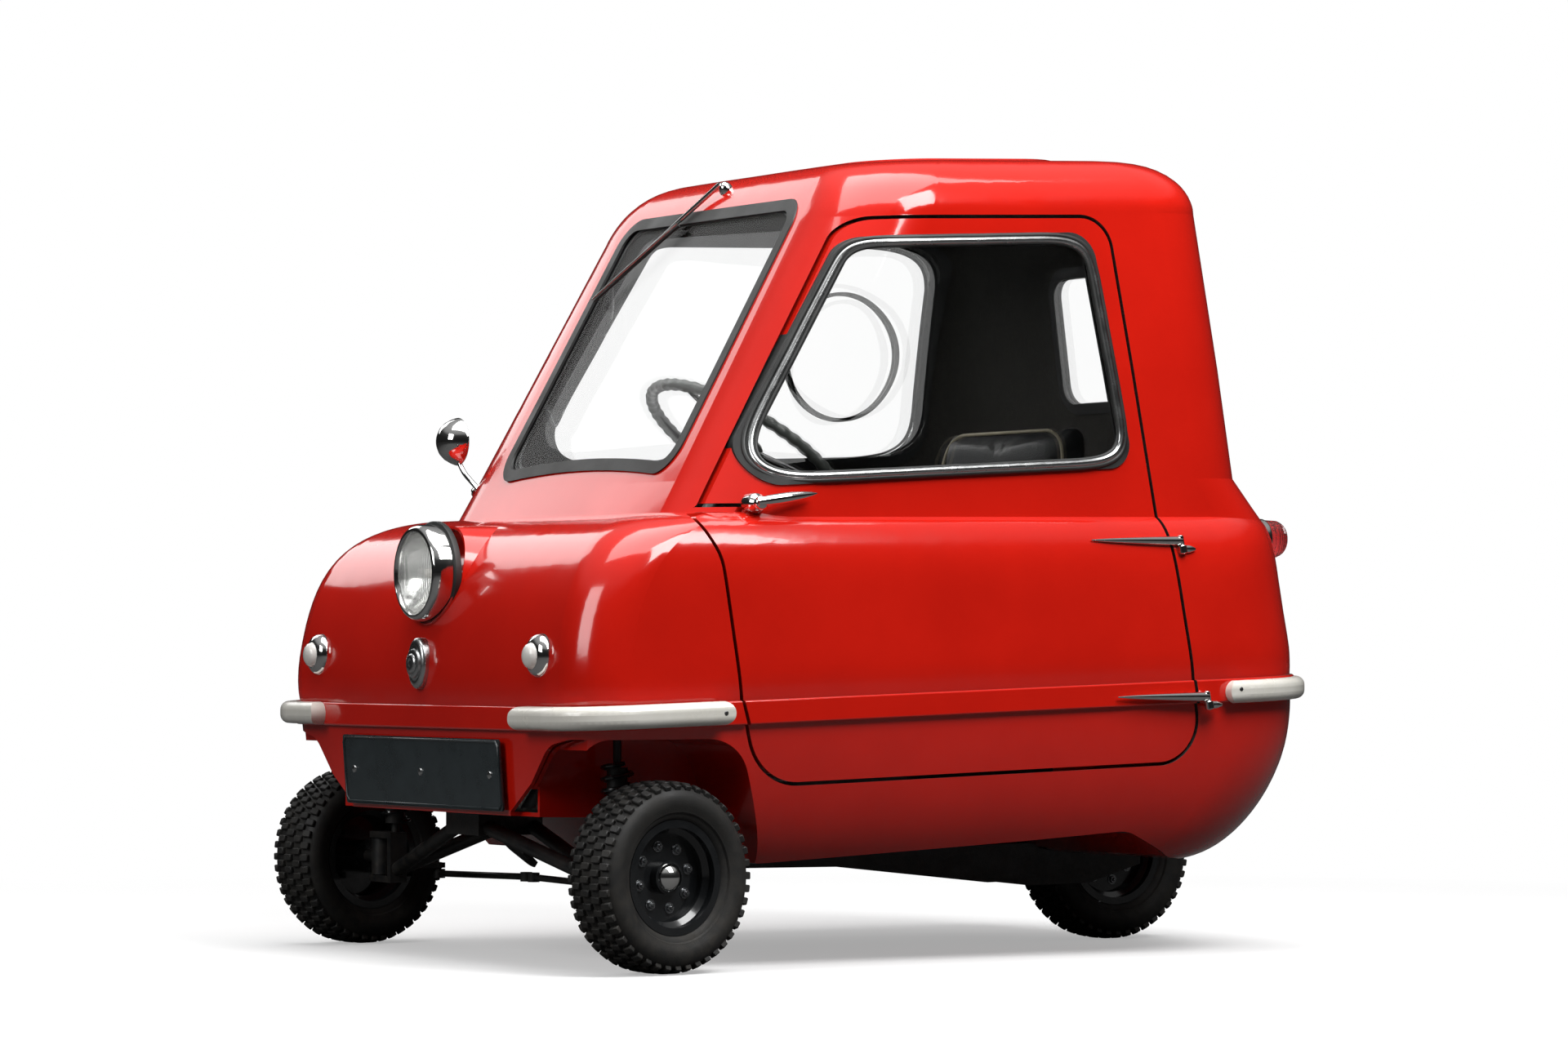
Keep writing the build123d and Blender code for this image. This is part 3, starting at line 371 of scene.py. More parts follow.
@dataclass(frozen=True)
class GlassFinish(Finish):
    """Clear or tinted glass; flutes make the ribs of a lamp lens."""

    alpha: float = 0.16
    bend: float = 1.03
    flutes: float = 0.0
    flute_depth: float = 0.0006

    def surface(self, graph: Graph) -> bpy.types.Node:
        """Wire the glass."""
        shader = Finish.surface(self, graph)
        shader.inputs["Transmission Weight"].default_value = 1.0
        shader.inputs["Alpha"].default_value = self.alpha
        shader.inputs["IOR"].default_value = self.bend
        if self.flutes:
            place = graph.node("ShaderNodeTexCoord").outputs["Object"]
            wave = graph.node("ShaderNodeTexWave", {"Vector": place, "Scale": self.flutes})
            bump = graph.node("ShaderNodeBump", {"Distance": self.flute_depth,
                                                 "Height": wave.outputs[0]})
            graph.tree.links.new(bump.outputs[0], shader.inputs["Normal"])
        return shader


class Finishes:
    """Every finish on the car."""

    shell = ShellFinish(Slot.SHELL, (0.64, 0.012, 0.005), (0.58, 0.010, 0.004), (0.1, 0.16),
                        coat=0.5, mottle=5.0)
    window = GlassFinish(Slot.WINDOW, (0.97, 0.98, 0.97), (0.95, 0.97, 0.96), (0.0, 0.02),
                         alpha=0.12, coat=1.0)
    lens = GlassFinish(Slot.LENS, (0.95, 0.96, 0.95), (0.9, 0.92, 0.9), (0.02, 0.06), alpha=0.32,
                       bend=1.25, coat=1.0, flutes=55.0)
    frosted = Finish(Slot.LENS, (0.88, 0.86, 0.82), (0.76, 0.74, 0.7), (0.18, 0.3), coat=0.8,
                     mottle=45.0, grain=500.0, depth=0.0002, suffix="_frosted")
    rubber = Finish(Slot.RUBBER, (0.014, 0.015, 0.015), (0.026, 0.027, 0.026), (0.4, 0.55),
                    grain=900.0, depth=0.00005)
    strip = Finish(Slot.CHROME, (0.62, 0.63, 0.63), (0.5, 0.51, 0.51), (0.2, 0.3), metallic=1.0,
                   mottle=40.0, suffix="_strip")
    bumper = Finish(Slot.BUMPER, (0.8, 0.78, 0.72), (0.74, 0.72, 0.65), (0.2, 0.3), coat=0.4,
                    mottle=22.0)
    plate = Finish(Slot.PLATE, (0.016, 0.024, 0.027), (0.024, 0.034, 0.038), (0.25, 0.36),
                   coat=0.4, mottle=30.0)
    chrome = Finish(Slot.CHROME, (0.78, 0.78, 0.77), (0.7, 0.7, 0.69), (0.05, 0.11), metallic=1.0,
                    mottle=60.0)
    reflector = Finish(Slot.CHROME, (0.86, 0.86, 0.84), (0.8, 0.8, 0.78), (0.08, 0.14),
                       metallic=1.0, mottle=30.0, suffix="_reflector")
    red_lens = GlassFinish(Slot.RED_LENS, (0.5, 0.012, 0.012), (0.4, 0.01, 0.01), (0.08, 0.14),
                           alpha=0.92, bend=1.4, coat=0.6, flutes=60.0)
    tyre = Finish(Slot.TYRE, (0.010, 0.010, 0.010), (0.018, 0.017, 0.015), (0.55, 0.75),
                  mottle=25.0, grain=700.0, depth=0.00015, dust=0.3,
                  dust_colour=(0.032, 0.028, 0.023))
    black = Finish(Slot.BLACK_ENAMEL, (0.008, 0.009, 0.01), (0.013, 0.014, 0.015), (0.12, 0.24),
                   coat=0.4, mottle=30.0)
    chassis = Finish(Slot.BLACK_ENAMEL, (0.012, 0.013, 0.014), (0.022, 0.022, 0.022), (0.3, 0.5),
                     mottle=35.0, grain=350.0, depth=0.0001, dust=0.3, suffix="_chassis")
    steel = Finish(Slot.STEEL, (0.2, 0.2, 0.2), (0.13, 0.13, 0.13), (0.28, 0.45), metallic=1.0,
                   mottle=60.0, grain=700.0, depth=0.00003)
    plastic = Finish(Slot.GREY_PLASTIC, (0.075, 0.082, 0.075), (0.055, 0.06, 0.055), (0.28, 0.4),
                     mottle=30.0, grain=900.0, depth=0.00004)
    seat = Finish(Slot.LEATHERCLOTH, (0.016, 0.017, 0.018), (0.03, 0.031, 0.032), (0.32, 0.46),
                  mottle=18.0, grain=420.0, depth=0.00035)
    piping = Finish(Slot.LEATHERCLOTH, (0.5, 0.45, 0.32), (0.42, 0.37, 0.26), (0.4, 0.55),
                    mottle=40.0, suffix="_piping")
    lining = Finish(Slot.LINING, (0.03, 0.028, 0.025), (0.05, 0.047, 0.042), (0.8, 0.9),
                    mottle=60.0, grain=900.0, depth=0.0004)
    bolt = Finish(Slot.STEEL, (0.42, 0.43, 0.44), (0.28, 0.29, 0.3), (0.22, 0.35), metallic=1.0,
                  mottle=90.0, grain=900.0, depth=0.00003, suffix="_bolt")
    alloy = Finish(Slot.ALLOY, (0.34, 0.34, 0.33), (0.26, 0.26, 0.25), (0.4, 0.55), metallic=0.9,
                   mottle=40.0, grain=450.0, depth=0.0002)


NODE_FINISHES: dict[Finish, tuple[str, ...]] = {
    Finishes.shell: ("body_upper", "body_lower", "door", "headlamp_fairing"),
    Finishes.window: ("body_glass", "door_glass"),
    Finishes.rubber: ("body_seals", "door_seal"),
    Finishes.bumper: ("bumpers",),
    Finishes.plate: ("number_plates",),
    Finishes.chrome: ("lifting_handle", "door_handle", "mirror", "headlamp_bowl", "sidelights",
                      "nose_lock", "hinge_straps", "hinge_mounts"),
    Finishes.lens: ("headlamp_lens",),
    Finishes.red_lens: ("tail_lamps",),
    Finishes.tyre: ("tyre_front_left", "tyre_front_right", "tyre_rear"),
    Finishes.black: ("rim_front_left", "rim_front_right", "rim_rear"),
    Finishes.chassis: ("front_swing_arms", "front_dampers", "front_bracket", "knuckle_left",
                       "knuckle_right", "track_rod_left", "track_rod_right", "rear_swing_arm",
                       "seat_base"),
    Finishes.steel: ("steering_column", "column_bracket", "pedals", "gear_lever", "wiper"),
    Finishes.plastic: ("steering_wheel",),
    Finishes.seat: ("seat_cushion", "seat_back"),
    Finishes.lining: ("engine_cover",),
    Finishes.alloy: ("engine",),
}


def placed(origin: Sequence[float], along: Sequence[float],
           up: Sequence[float] = (0, 0, 1)) -> Matrix:
    """A place for a turned shape.

    Args:
        origin: where the shape's zero goes.
        along: where its X axis points.
        up: roughly where its Z axis points.

    Returns:
        The matrix from the shape's own space to the frame.
    """
    x_axis = Vector(along).normalized()
    y_axis = Vector(up).cross(x_axis).normalized()
    z_axis = x_axis.cross(y_axis)
    turn = Matrix((x_axis, y_axis, z_axis)).transposed().to_4x4()
    return Matrix.Translation(Vector(origin)) @ turn


def add_object(name: str, data: bpy.types.ID) -> bpy.types.Object:
    """Put a new object into the scene.

    Args:
        name: the object's name.
        data: its mesh, curve, light or camera.

    Returns:
        The new object.
    """
    made = bpy.data.objects.new(name, data)
    bpy.context.scene.collection.objects.link(made)
    return made


class Stock:
    """One piece on the bench: shapes are added to a single mesh, each at its own place."""

    def __init__(self) -> None:
        """Start with an empty mesh."""
        self.mesh = bmesh.new()

    def take(self, shape: bmesh.types.BMesh, place: Matrix) -> None:
        """Add a finished shape and let go of its own mesh.

        Args:
            shape: the shape, in its own space.
            place: where it goes.
        """
        bmesh.ops.transform(shape, matrix=place, verts=shape.verts)
        if place.is_negative:
            bmesh.ops.reverse_faces(shape, faces=shape.faces)
        carrier = bpy.data.meshes.new("carrier")
        shape.to_mesh(carrier)
        shape.free()
        self.mesh.from_mesh(carrier)
        bpy.data.meshes.remove(carrier)

    def turned(self, outline: Outline, place: Matrix, steps: int = 48,
               closed: bool = False) -> None:
        """Spin an outline of (along, out) points, in millimetres, round the place's X axis.

        Args:
            outline: the points of the half section.
            place: where the axis goes.
            steps: how many faces go round.
            closed: whether the outline comes back to its first point.
        """
        shape = bmesh.new()
        points = [shape.verts.new((along * MM, 0, out * MM)) for along, out in outline]
        pairs = list(zip(points, points[1:]))
        if closed:
            pairs.append((points[-1], points[0]))
        edges = [shape.edges.new(pair) for pair in pairs]
        bmesh.ops.spin(shape, geom=points + edges, cent=(0, 0, 0), axis=(1, 0, 0),
                       angle=FULL_TURN, steps=steps, use_merge=True)
        bmesh.ops.remove_doubles(shape, verts=shape.verts, dist=1e-6)
        bmesh.ops.recalc_face_normals(shape, faces=shape.faces)
        self.take(shape, place)

    def block(self, size: Sequence[float], place: Matrix, bevel: float = 0.0,
              segments: int = 2) -> None:
        """Add a box with eased edges.

        Args:
            size: its three sides in metres.
            place: where its middle goes.
            bevel: how far the edges are eased, in metres.
            segments: faces across each eased edge.
        """
        shape = bmesh.new()
        bmesh.ops.create_cube(shape, size=1.0, matrix=Matrix.Diagonal((*size, 1.0)))
        if bevel:
            bmesh.ops.bevel(shape, geom=shape.edges[:], offset=bevel, segments=segments,
                            profile=0.5, affect="EDGES", material=-1)
        self.take(shape, place)

    def bolt(self, radius: float, height: float, place: Matrix, sides: int) -> None:
        """Add a bolt head or a round boss whose axis is the place's X axis.

        Args:
            radius: half its width across the corners, in metres.
            height: how far it stands, in metres.
            place: the middle of its seat.
            sides: 6 for a hexagon, more for a round one.
        """
        shape = bmesh.new()
        stand = Matrix.Translation((height / 2, 0, 0)) @ Matrix.Rotation(math.pi / 2, 4, "Y")
        bmesh.ops.create_cone(shape, cap_ends=True, segments=sides, radius1=radius,
                              radius2=radius, depth=height, matrix=stand)
        bmesh.ops.bevel(shape, geom=shape.edges[:], offset=height * 0.16, segments=1, profile=0.5,
                        affect="EDGES", material=-1)
        self.take(shape, place)

    def tube(self, points: Sequence[Vector], radius: float, closed: bool = False,
             shares: Sequence[float] | None = None, smooth: bool = True,
             place: Matrix | None = None, sides: int = 3) -> None:
        """Add a round bar along points.

        Args:
            points: its middle line.
            radius: its radius in metres.
            closed: whether it is a ring.
            shares: its radius at each point as a share of the whole.
            smooth: whether its line is a spline, or straight runs.
            place: where it goes, if the points aren't in the frame.
            sides: how finely it is rounded.
        """
        line = bpy.data.curves.new("line", "CURVE")
        line.dimensions = "3D"
        line.bevel_depth = radius
        line.bevel_resolution = sides
        line.use_fill_caps = True
        spline = line.splines.new("NURBS" if smooth else "POLY")
        spline.points.add(len(points) - 1)
        for index, point in enumerate(points):
            spline.points[index].co = (*point, 1.0)
            spline.points[index].radius = shares[index] if shares else 1.0
        spline.use_cyclic_u = closed
        if smooth:
            spline.order_u = 3
            spline.resolution_u = 6
            spline.use_endpoint_u = not closed
        carrier = add_object("line", line)
        evaluated = carrier.evaluated_get(bpy.context.evaluated_depsgraph_get())
        solid = bpy.data.meshes.new_from_object(evaluated)
        shape = bmesh.new()
        shape.from_mesh(solid)
        bmesh.ops.remove_doubles(shape, verts=shape.verts, dist=1e-6)
        bmesh.ops.recalc_face_normals(shape, faces=shape.faces)
        bpy.data.objects.remove(carrier)
        bpy.data.curves.remove(line)
        bpy.data.meshes.remove(solid)
        self.take(shape, place or Matrix.Identity(4))

    def piece(self, name: str, finish: Finish, body: str,
              replaced: Sequence[str] = ()) -> bpy.types.Object:
        """Finish the piece and let it ride on a body.

        Args:
            name: the piece's name.
            finish: what it is dressed in.
            body: the body that carries it.
            replaced: the plain nodes that it stands for.

        Returns:
            The piece's object.
        """
        data = bpy.data.meshes.new(name)
        self.mesh.to_mesh(data)
        self.mesh.free()
        data.shade_smooth()
        data.set_sharp_from_angle(angle=SMOOTH_ANGLE)
        made = add_object(name, data)
        data.materials.append(finish.material())
        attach(made, body)
        if replaced:
            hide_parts(*replaced)
        LOG.info("%s: %d faces on %s", name, len(data.polygons), body)
        return made


def joint(name: str) -> dict:
    """One joint of the frame.

    Args:
        name: the joint's name.

    Returns:
        Its entry in the record.
    """
    return next(entry for entry in frame["joints"] if entry["name"] == name)


def skin_tree(*nodes: str) -> BVHTree:
    """What rays hit on some of the frame's nodes.

    Args:
        nodes: the nodes' names.

    Returns:
        A tree of their faces.
    """
    shape = bmesh.new()
    for name in nodes:
        shape.from_mesh(frame["nodes"][name].data)
    tree = BVHTree.FromBMesh(shape)
    shape.free()
    return tree


@dataclass
class Ring:
    """The middle line of a window's rubber, found by rays that look into the cabin."""

    node: str
    centre: Vector
    side: Vector
    up: Vector
    reach: float = 0.5
    before: float = 0.14
    depth: float = 0.3
    count: int = 180
    step: float = 0.0012
    smoothing: int = 7

    def hit(self, tree: BVHTree, spot: Vector) -> Vector | None:
        """Where a ray meets the rubber.

        Args:
            tree: the rubber's faces.
            spot: a point that the ray goes through.

        Returns:
            The point, or None.
        """
        look = self.side.cross(self.up).normalized()
        return tree.ray_cast(spot - look * self.before, look, self.depth)[0]

    def edges(self, tree: BVHTree, out: Vector) -> tuple[float, float] | None:
        """How far the rubber's inner and outer edges are from the centre.

        Args:
            tree: the rubber's faces.
            out: the direction from the centre.

        Returns:
            The two distances, or None where no ray meets it.
        """
        outer = None
        inner = None
        for index in range(int(self.reach / self.step), 0, -1):
            distance = index * self.step
            if self.hit(tree, self.centre + out * distance):
                outer = outer or distance
                inner = distance
            elif outer and inner - distance > 3 * self.step:
                break
        return (inner, outer) if outer else None

    def points(self, share: float) -> list[Vector]:
        """Points round the rubber.

        Args:
            share: 0 at its inner edge and 1 at its outer edge.

        Returns:
            The points on its outer face.
        """
        tree = skin_tree(self.node)
        line = []
        for index in range(self.count):
            angle = FULL_TURN * index / self.count
            out = self.side * math.cos(angle) + self.up.normalized() * math.sin(angle)
            edges = self.edges(tree, out)
            spot = self.hit(tree, self.centre + out * (edges[0] + (edges[1] - edges[0]) * share)
                            ) if edges else None
            if spot:
                line.append(spot)
        for _ in range(self.smoothing):
            line = [(line[index - 1] + line[index] * 2 + line[(index + 1) % len(line)]) / 4
                    for index in range(len(line))]
        return line


@dataclass
class Wheel:
    """A road wheel: a block tread tyre and the dressing of its pressed steel rim."""

    name: str
    body: str
    joint_name: str
    outward: float
    has_cap: bool
    tip_radius: float = 136.8
    carcass_radius: float = 131.0
    half_width: float = 48.1
    bead_radius: float = 82.6
    lug_count: int = 44
    block_height: float = 9.0
    block_bevel: float = 1.2
    bolt_circle: float = 45.0
    bolt_count: int = 8
    bolt_seat: float = 8.0
    # Each row: radius, height and sides of the washer, the head and the stud
    bolt_steps: tuple[tuple[float, float, int], ...] = ((8.0, 1.2, 20), (6.3, 5.5, 6),
                                                        (3.0, 8.0, 12))
    # Each row: place across the tread, block width and length, stagger, lean and drop
    tread_rows: tuple[tuple[float, ...], ...] = (
        (36.4, 14.0, 10.5, 0.0, 22.0, 3.6),
        (20.5, 17.0, 10.0, 0.5, 4.0, 0.6),
        (0.0, 17.0, 10.0, 0.0, 0.0, 0.0),
        (-20.5, 17.0, 10.0, 0.5, -4.0, 0.6),
        (-36.4, 14.0, 10.5, 0.0, -22.0, 3.6),
    )

    @property
    def place(self) -> Matrix:
        """The wheel's own space, X out along its axle."""
        spin = joint(self.joint_name)
        return placed(spin["pos_m"], Vector(spin["axis"]) * self.outward)

    def build(self) -> None:
        """Make the tyre and the rim's fittings."""
        self.tyre()
        self.fittings()

    def tyre(self) -> None:
        """Make the carcass and its five rows of blocks."""
        stock = Stock()
        half, top = self.half_width, self.carcass_radius
        flank = [(half - 13, self.bead_radius), (half - 9, 86), (half - 7.5, 91), (half - 4.5, 93),
                 (half - 3.6, 96), (half - 1.2, 101), (half, 108), (half - 0.6, 115),
                 (half - 4, 122), (half - 10, 127.5), (half - 20, 130)]
        other_flank = [(-along, out) for along, out in reversed(flank)]
        outline = flank + [(14, top), (-14, top)] + other_flank
        stock.turned(outline, self.place, steps=96, closed=True)
        for row in self.tread_rows:
            self.tread_row(stock, *row)
        stock.piece(f"tread_tyre_{self.name}", Finishes.tyre, self.body, [f"tyre_{self.name}"])

    def tread_row(self, stock: Stock, along: float, width: float, length: float, stagger: float,
                  lean: float, drop: float) -> None:
        """Add one row of blocks.

        Args:
            stock: the tyre.
            along: the row's place across the tread, in millimetres.
            width: a block across the tread, in millimetres.
            length: a block round the tread, in millimetres.
            stagger: how far the row is turned, as a share of the block spacing.
            lean: how far the blocks lean over the shoulder, in degrees.
            drop: how far their tops lie below the highest, in millimetres.
        """
        height = self.block_height
        for index in range(self.lug_count):
            turn = FULL_TURN * (index + stagger) / self.lug_count
            radius = (self.tip_radius - drop - height / 2) * MM
            seat = (Matrix.Rotation(turn, 4, "X") @ Matrix.Translation((along * MM, 0, radius))
                    @ Matrix.Rotation(math.radians(lean), 4, "Y"))
            stock.block((width * MM, length * MM, height * MM), self.place @ seat,
                        self.block_bevel * MM, 1)

    def fittings(self) -> None:
        """Make the ring of bolts, and the domed cap on a front wheel."""
        bolts = Stock()
        for index in range(self.bolt_count):
            turn = Matrix.Rotation(FULL_TURN * (index + 0.3) / self.bolt_count, 4, "X")
            out = Matrix.Translation((self.bolt_seat * MM, 0, self.bolt_circle * MM))
            for radius, height, sides in self.bolt_steps:
                bolts.bolt(radius * MM, height * MM, self.place @ turn @ out, sides)
        bolts.piece(f"rim_bolts_{self.name}", Finishes.bolt, self.body)
        if self.has_cap:
            cap = Stock()
            cap.turned([(20.0, 0), (20.0, 20.6), (23.0, 20.6), (26.5, 19.0), (30.5, 15.5),
                        (34.2, 9.5), (36.0, 4.5), (36.4, 0)], self.place)
            cap.piece(f"hub_dome_{self.name}", Finishes.reflector, self.body)


@dataclass
class Headlamp:
    """The single lamp on the nose: bezel, gasket, reflector, bulb and fluted lens."""

    radius: float = 72.0
    gasket_radius: float = 77.0

    def build(self) -> None:
        """Make the lamp in the place of its plain bowl."""
        low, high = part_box("headlamp_bowl")
        place = placed((0, low.y - 2 * MM, (low.z + high.z) / 2), (0, 1, 0))
        bezel = [(10, 59.4), (4.5, 60), (2.2, 62), (2.0, 64.5), (3.4, 67.5), (7, 70), (14, 71.6),
                 (24, self.radius), (35, self.radius), (35, 66), (12, 64)]
        gasket = [(33.5, 66), (33.5, 74.5), (35, self.gasket_radius), (43, self.gasket_radius),
                  (44.5, 76), (46, 72), (46, 66)]
        dish = [(10, 59.4), (14, 57), (24, 49), (34, 37), (41, 24), (45, 9), (45.5, 0), (48, 0),
                (47, 10), (43, 26), (36, 39), (26, 51), (12, 61)]
        bulb = [(45, 0), (45, 9), (38, 9), (37, 6), (30, 8), (24, 6), (21, 0)]
        lens = [(7.5, 59.3), (5.5, 54), (3.2, 44), (1.6, 30), (0.8, 14), (0.5, 0), (3.0, 0),
                (3.3, 14), (4.1, 30), (5.7, 44), (8.0, 54), (10.0, 59.3)]
        for name, finish, outline, steps, closed, replaced in (
                ("headlamp_bezel", Finishes.chrome, bezel, 96, True, ["headlamp_bowl"]),
                ("headlamp_gasket", Finishes.rubber, gasket, 96, True, []),
                ("headlamp_reflector", Finishes.reflector, dish, 96, True, []),
                ("headlamp_bulb", Finishes.frosted, bulb, 32, False, []),
                ("fluted_lens", Finishes.lens, lens, 96, True, ["headlamp_lens"])):
            stock = Stock()
            stock.turned(outline, place, steps, closed)
            stock.piece(name, finish, "car_body", replaced)


@dataclass
class NoseFittings:
    """The sidelights and the centre lock."""

    bell_radius: float = 32.0
    lens_radius: float = 19.0

    def build(self) -> None:
        """Make the sidelights and the lock."""
        self.sidelights()
        self.lock()

    def sidelights(self) -> None:
        """Make the two chrome bells, their rubber pads and their frosted domes."""
        low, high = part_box("sidelights")
        bells = Stock()
        domes = Stock()
        pads = Stock()
        height = (low.z + high.z) / 2
        for side in (-1, 1):
            place = placed((side * (high.x - self.bell_radius * MM), low.y, height), (0, 1, 0))
            edge = self.bell_radius
            bells.turned([(13, 17), (11.6, 19.6), (12.2, 21.5), (14, 24), (16, 27),
                          (20, edge - 2.2), (24, edge - 0.8), (27, edge - 0.8), (27, 20)],
                         place, 64, True)
            pads.turned([(27, 20), (27, edge - 0.4), (31, edge), (60, edge), (60, 20)], place, 64,
                        True)
            domes.turned([(0.4, 0), (1.0, 6), (2.8, 12), (6, 16.4), (12, self.lens_radius),
                          (18, self.lens_radius), (18, 0)], place, 48)
        bells.piece("sidelight_bells", Finishes.chrome, "car_body", ["sidelights"])
        pads.piece("sidelight_pads", Finishes.rubber, "car_body")
        domes.piece("sidelight_domes", Finishes.frosted, "car_body")

    def lock(self) -> None:
        """Make the stepped oval lock boss with its key slot."""
        low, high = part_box("nose_lock")
        middle = (low.z + high.z) / 2
        squeeze = Matrix.Diagonal((1, (high.x - low.x) / (high.z - low.z), 1, 1))
        tall = (high.z - low.z) / 2 / MM
        place = placed((0, low.y, middle), (0, 1, 0))
        boss = Stock()
        boss.turned([(7.6, 0), (7.6, tall - 15), (8.6, tall - 13), (8.2, tall - 10.5),
                     (8.4, tall - 7), (10, tall - 2.5), (12, tall - 0.5), (15, tall), (40, tall),
                     (40, 0)], place @ squeeze, 64)
        boss.turned([(1.2, 4.5), (0.4, 6), (0.4, 11), (1.6, 13.5), (3.5, 14.5), (4.0, 19),
                     (5.2, 21), (8.2, 22), (8.2, 4.5)], place, 48, True)
        boss.piece("lock_boss", Finishes.strip, "car_body", ["nose_lock"])
        slot = Stock()
        slot.turned([(1.6, 0), (1.6, 5.2), (8, 5.2), (8, 0)], place, 24)
        slot.piece("lock_slot", Finishes.rubber, "car_body")


@dataclass
class WindowTrim:
    """The rubber lips and bright strips of the door window, right window and windscreen."""

    screen_foot: Vector
    screen_head: Vector
    lip: float = 4.2
    inner_lip: float = 2.8
    strip: float = 5.8
    screen_strip: float = 1.6
    lip_shares: tuple[float, float] = (0.14, 0.82)
    strip_share: float = 0.44

    def build(self) -> None:
        """Make the trim of the door window first, then of the fixed ones."""
        low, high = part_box("door_seal")
        level = Vector((0, 1, 0))
        upright = Vector((0, 0, 1))
        door = Ring("door_seal", (low + high) / 2, -level, upright)
        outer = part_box("body_seals")[0].x
        middle = Vector((outer + 0.02, (low.y + high.y) / 2 + 0.09, (low.z + high.z) / 2 + 0.03))
        right = Ring("body_seals", middle, level, upright, depth=0.2)
        slope = (self.screen_head - self.screen_foot).normalized()
        middle = (self.screen_head + self.screen_foot) / 2
        screen = Ring("body_seals", middle, Vector((1, 0, 0)), slope, reach=0.46, depth=0.24)
        self.dress(door, "door_window", "door_body", self.strip)
        self.dress(right, "right_window", "car_body", self.strip)
        self.dress(screen, "windscreen", "car_body", self.screen_strip)

    def dress(self, ring: Ring, name: str, body: str, strip: float) -> None:
        """Lay two lips and one strip round a ring.

        Args:
            ring: the rubber that they lie on.
            name: what the pieces are called after.
            body: the body that carries them.
            strip: the strip's radius in millimetres.
        """
        lips = Stock()
        for share, radius in zip(self.lip_shares, (self.inner_lip, self.lip)):
            lips.tube(ring.points(share), radius * MM, closed=True)
        lips.piece(f"{name}_lips", Finishes.rubber, body)
        bright = Stock()
        bright.tube(ring.points(self.strip_share), strip * MM, closed=True)
        bright.piece(f"{name}_strip", Finishes.strip, body)


@dataclass
class DoorFurniture:
    """The chrome lever handle and the long pointed hinge straps with their knuckles."""

    foot_arc: tuple[float, float, float] = (0.303, 0.270, 0.1475)
    foot_height: float = 0.6612
    lever_length: float = 100.0
    strap_length: float = 158.0
    knuckle_radius: float = 7.0
    strap_knuckle: float = 4.6
    bead_radius: float = 2.9
    lever_radius: float = 8.2
    strap_radius: float = 7.6
    mount_radius: float = 6.8
    taper: float = 0.55

    def build(self) -> None:
        """Make the handle, the hinges and the bead under the door's front foot."""
        self.handle()
        self.hinges()
        self.foot_bead()

    def foot_bead(self) -> None:
        """Round the door's foot with a bead where it stands on the ledge before the windscreen."""
        x_middle, station, radius = self.foot_arc
        axle = joint("kingpin_left")["pos_m"][1]
        line = []
        for degrees in range(18, 62, 2):
            angle = math.radians(degrees)
            line.append(Vector((x_middle + radius * math.sin(angle),
                                axle + station - radius * math.cos(angle), self.foot_height)))
        bead = Stock()
        bead.tube(line, self.bead_radius * MM)
        bead.piece("door_foot_bead", Finishes.shell, "door_body")

    def handle(self) -> None:
        """Make the boss and its torpedo shaped lever."""
        low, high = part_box("door_handle")
        middle = Vector((high.x, low.y + 12 * MM, (low.z + high.z) / 2 - 4 * MM))
        stock = Stock()
        boss = placed(middle, (-1, 0, 0))
        stock.turned([(0.5, 0), (1.0, 6), (3.5, 9.5), (8, 11), (13, 9.5), (15, 10.5), (19, 14),
                      (24, 15), (40, 15), (40, 0)], boss, 48)
        points, shares = [], []
        count = 14
        for index in range(count):
            share = index / (count - 1)
            points.append(middle + Vector((-6.0 * MM, (self.lever_length * share - 8) * MM,
                                           (14 * share + 1) * MM)))
            swell = math.sin(math.pi * min(1.0, 0.22 + 0.78 * share))
            shares.append(max(0.1, swell ** self.taper))
        stock.tube(points, self.lever_radius * MM, shares=shares, sides=5)
        stock.piece("lever_handle", Finishes.chrome, "door_body", ["door_handle"])

    def hinges(self) -> None:
        """Make both straps, their barrels and the short mounts behind them."""
        swing = joint("door_swing")
        axis = Vector(swing["axis"]).normalized()
        foot = Vector(swing["pos_m"])
        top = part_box("hinge_straps")[1].z
        rise = (top - 14 * MM - foot.z) / axis.z
        straps = Stock()
        mounts = Stock()
        for centre in (foot, foot + axis * rise):
            points, shares = [], []
            count = 16
            for index in range(count):
                share = index / (count - 1)
                points.append(centre + Vector(((-4.5 + 1.5 * (1 - share)) * MM,
                                               -self.strap_length * share * MM, 5 * MM)))
                shares.append(max(0.12, (1 - share) ** self.taper))
            straps.tube(points, self.strap_radius * MM, shares=shares, sides=5)
            seat = placed(centre + axis * -1 * MM, axis, (1, 0, 0))
            straps.turned([(0, 0), (0, 4.2), (0.6, self.strap_knuckle), (13.4, self.strap_knuckle),
                           (14.5, 3.6), (15.5, 0)], seat, 32)
            mounts.turned([(-14.5, 0), (-13.5, 5.6), (-12, self.knuckle_radius),
                           (-1.8, self.knuckle_radius), (-0.9, 6.2), (-0.9, 0)], seat, 32)
            tail = [centre + Vector((-2 * MM, along * MM, -7 * MM)) for along in (0, 9, 18, 25)]
            mounts.tube(tail, self.mount_radius * MM, shares=(1.0, 1.0, 0.85, 0.4), sides=5)
        straps.piece("pointed_straps", Finishes.chrome, "door_body", ["hinge_straps"])
        mounts.piece("hinge_barrels", Finishes.chrome, "car_body", ["hinge_mounts"])


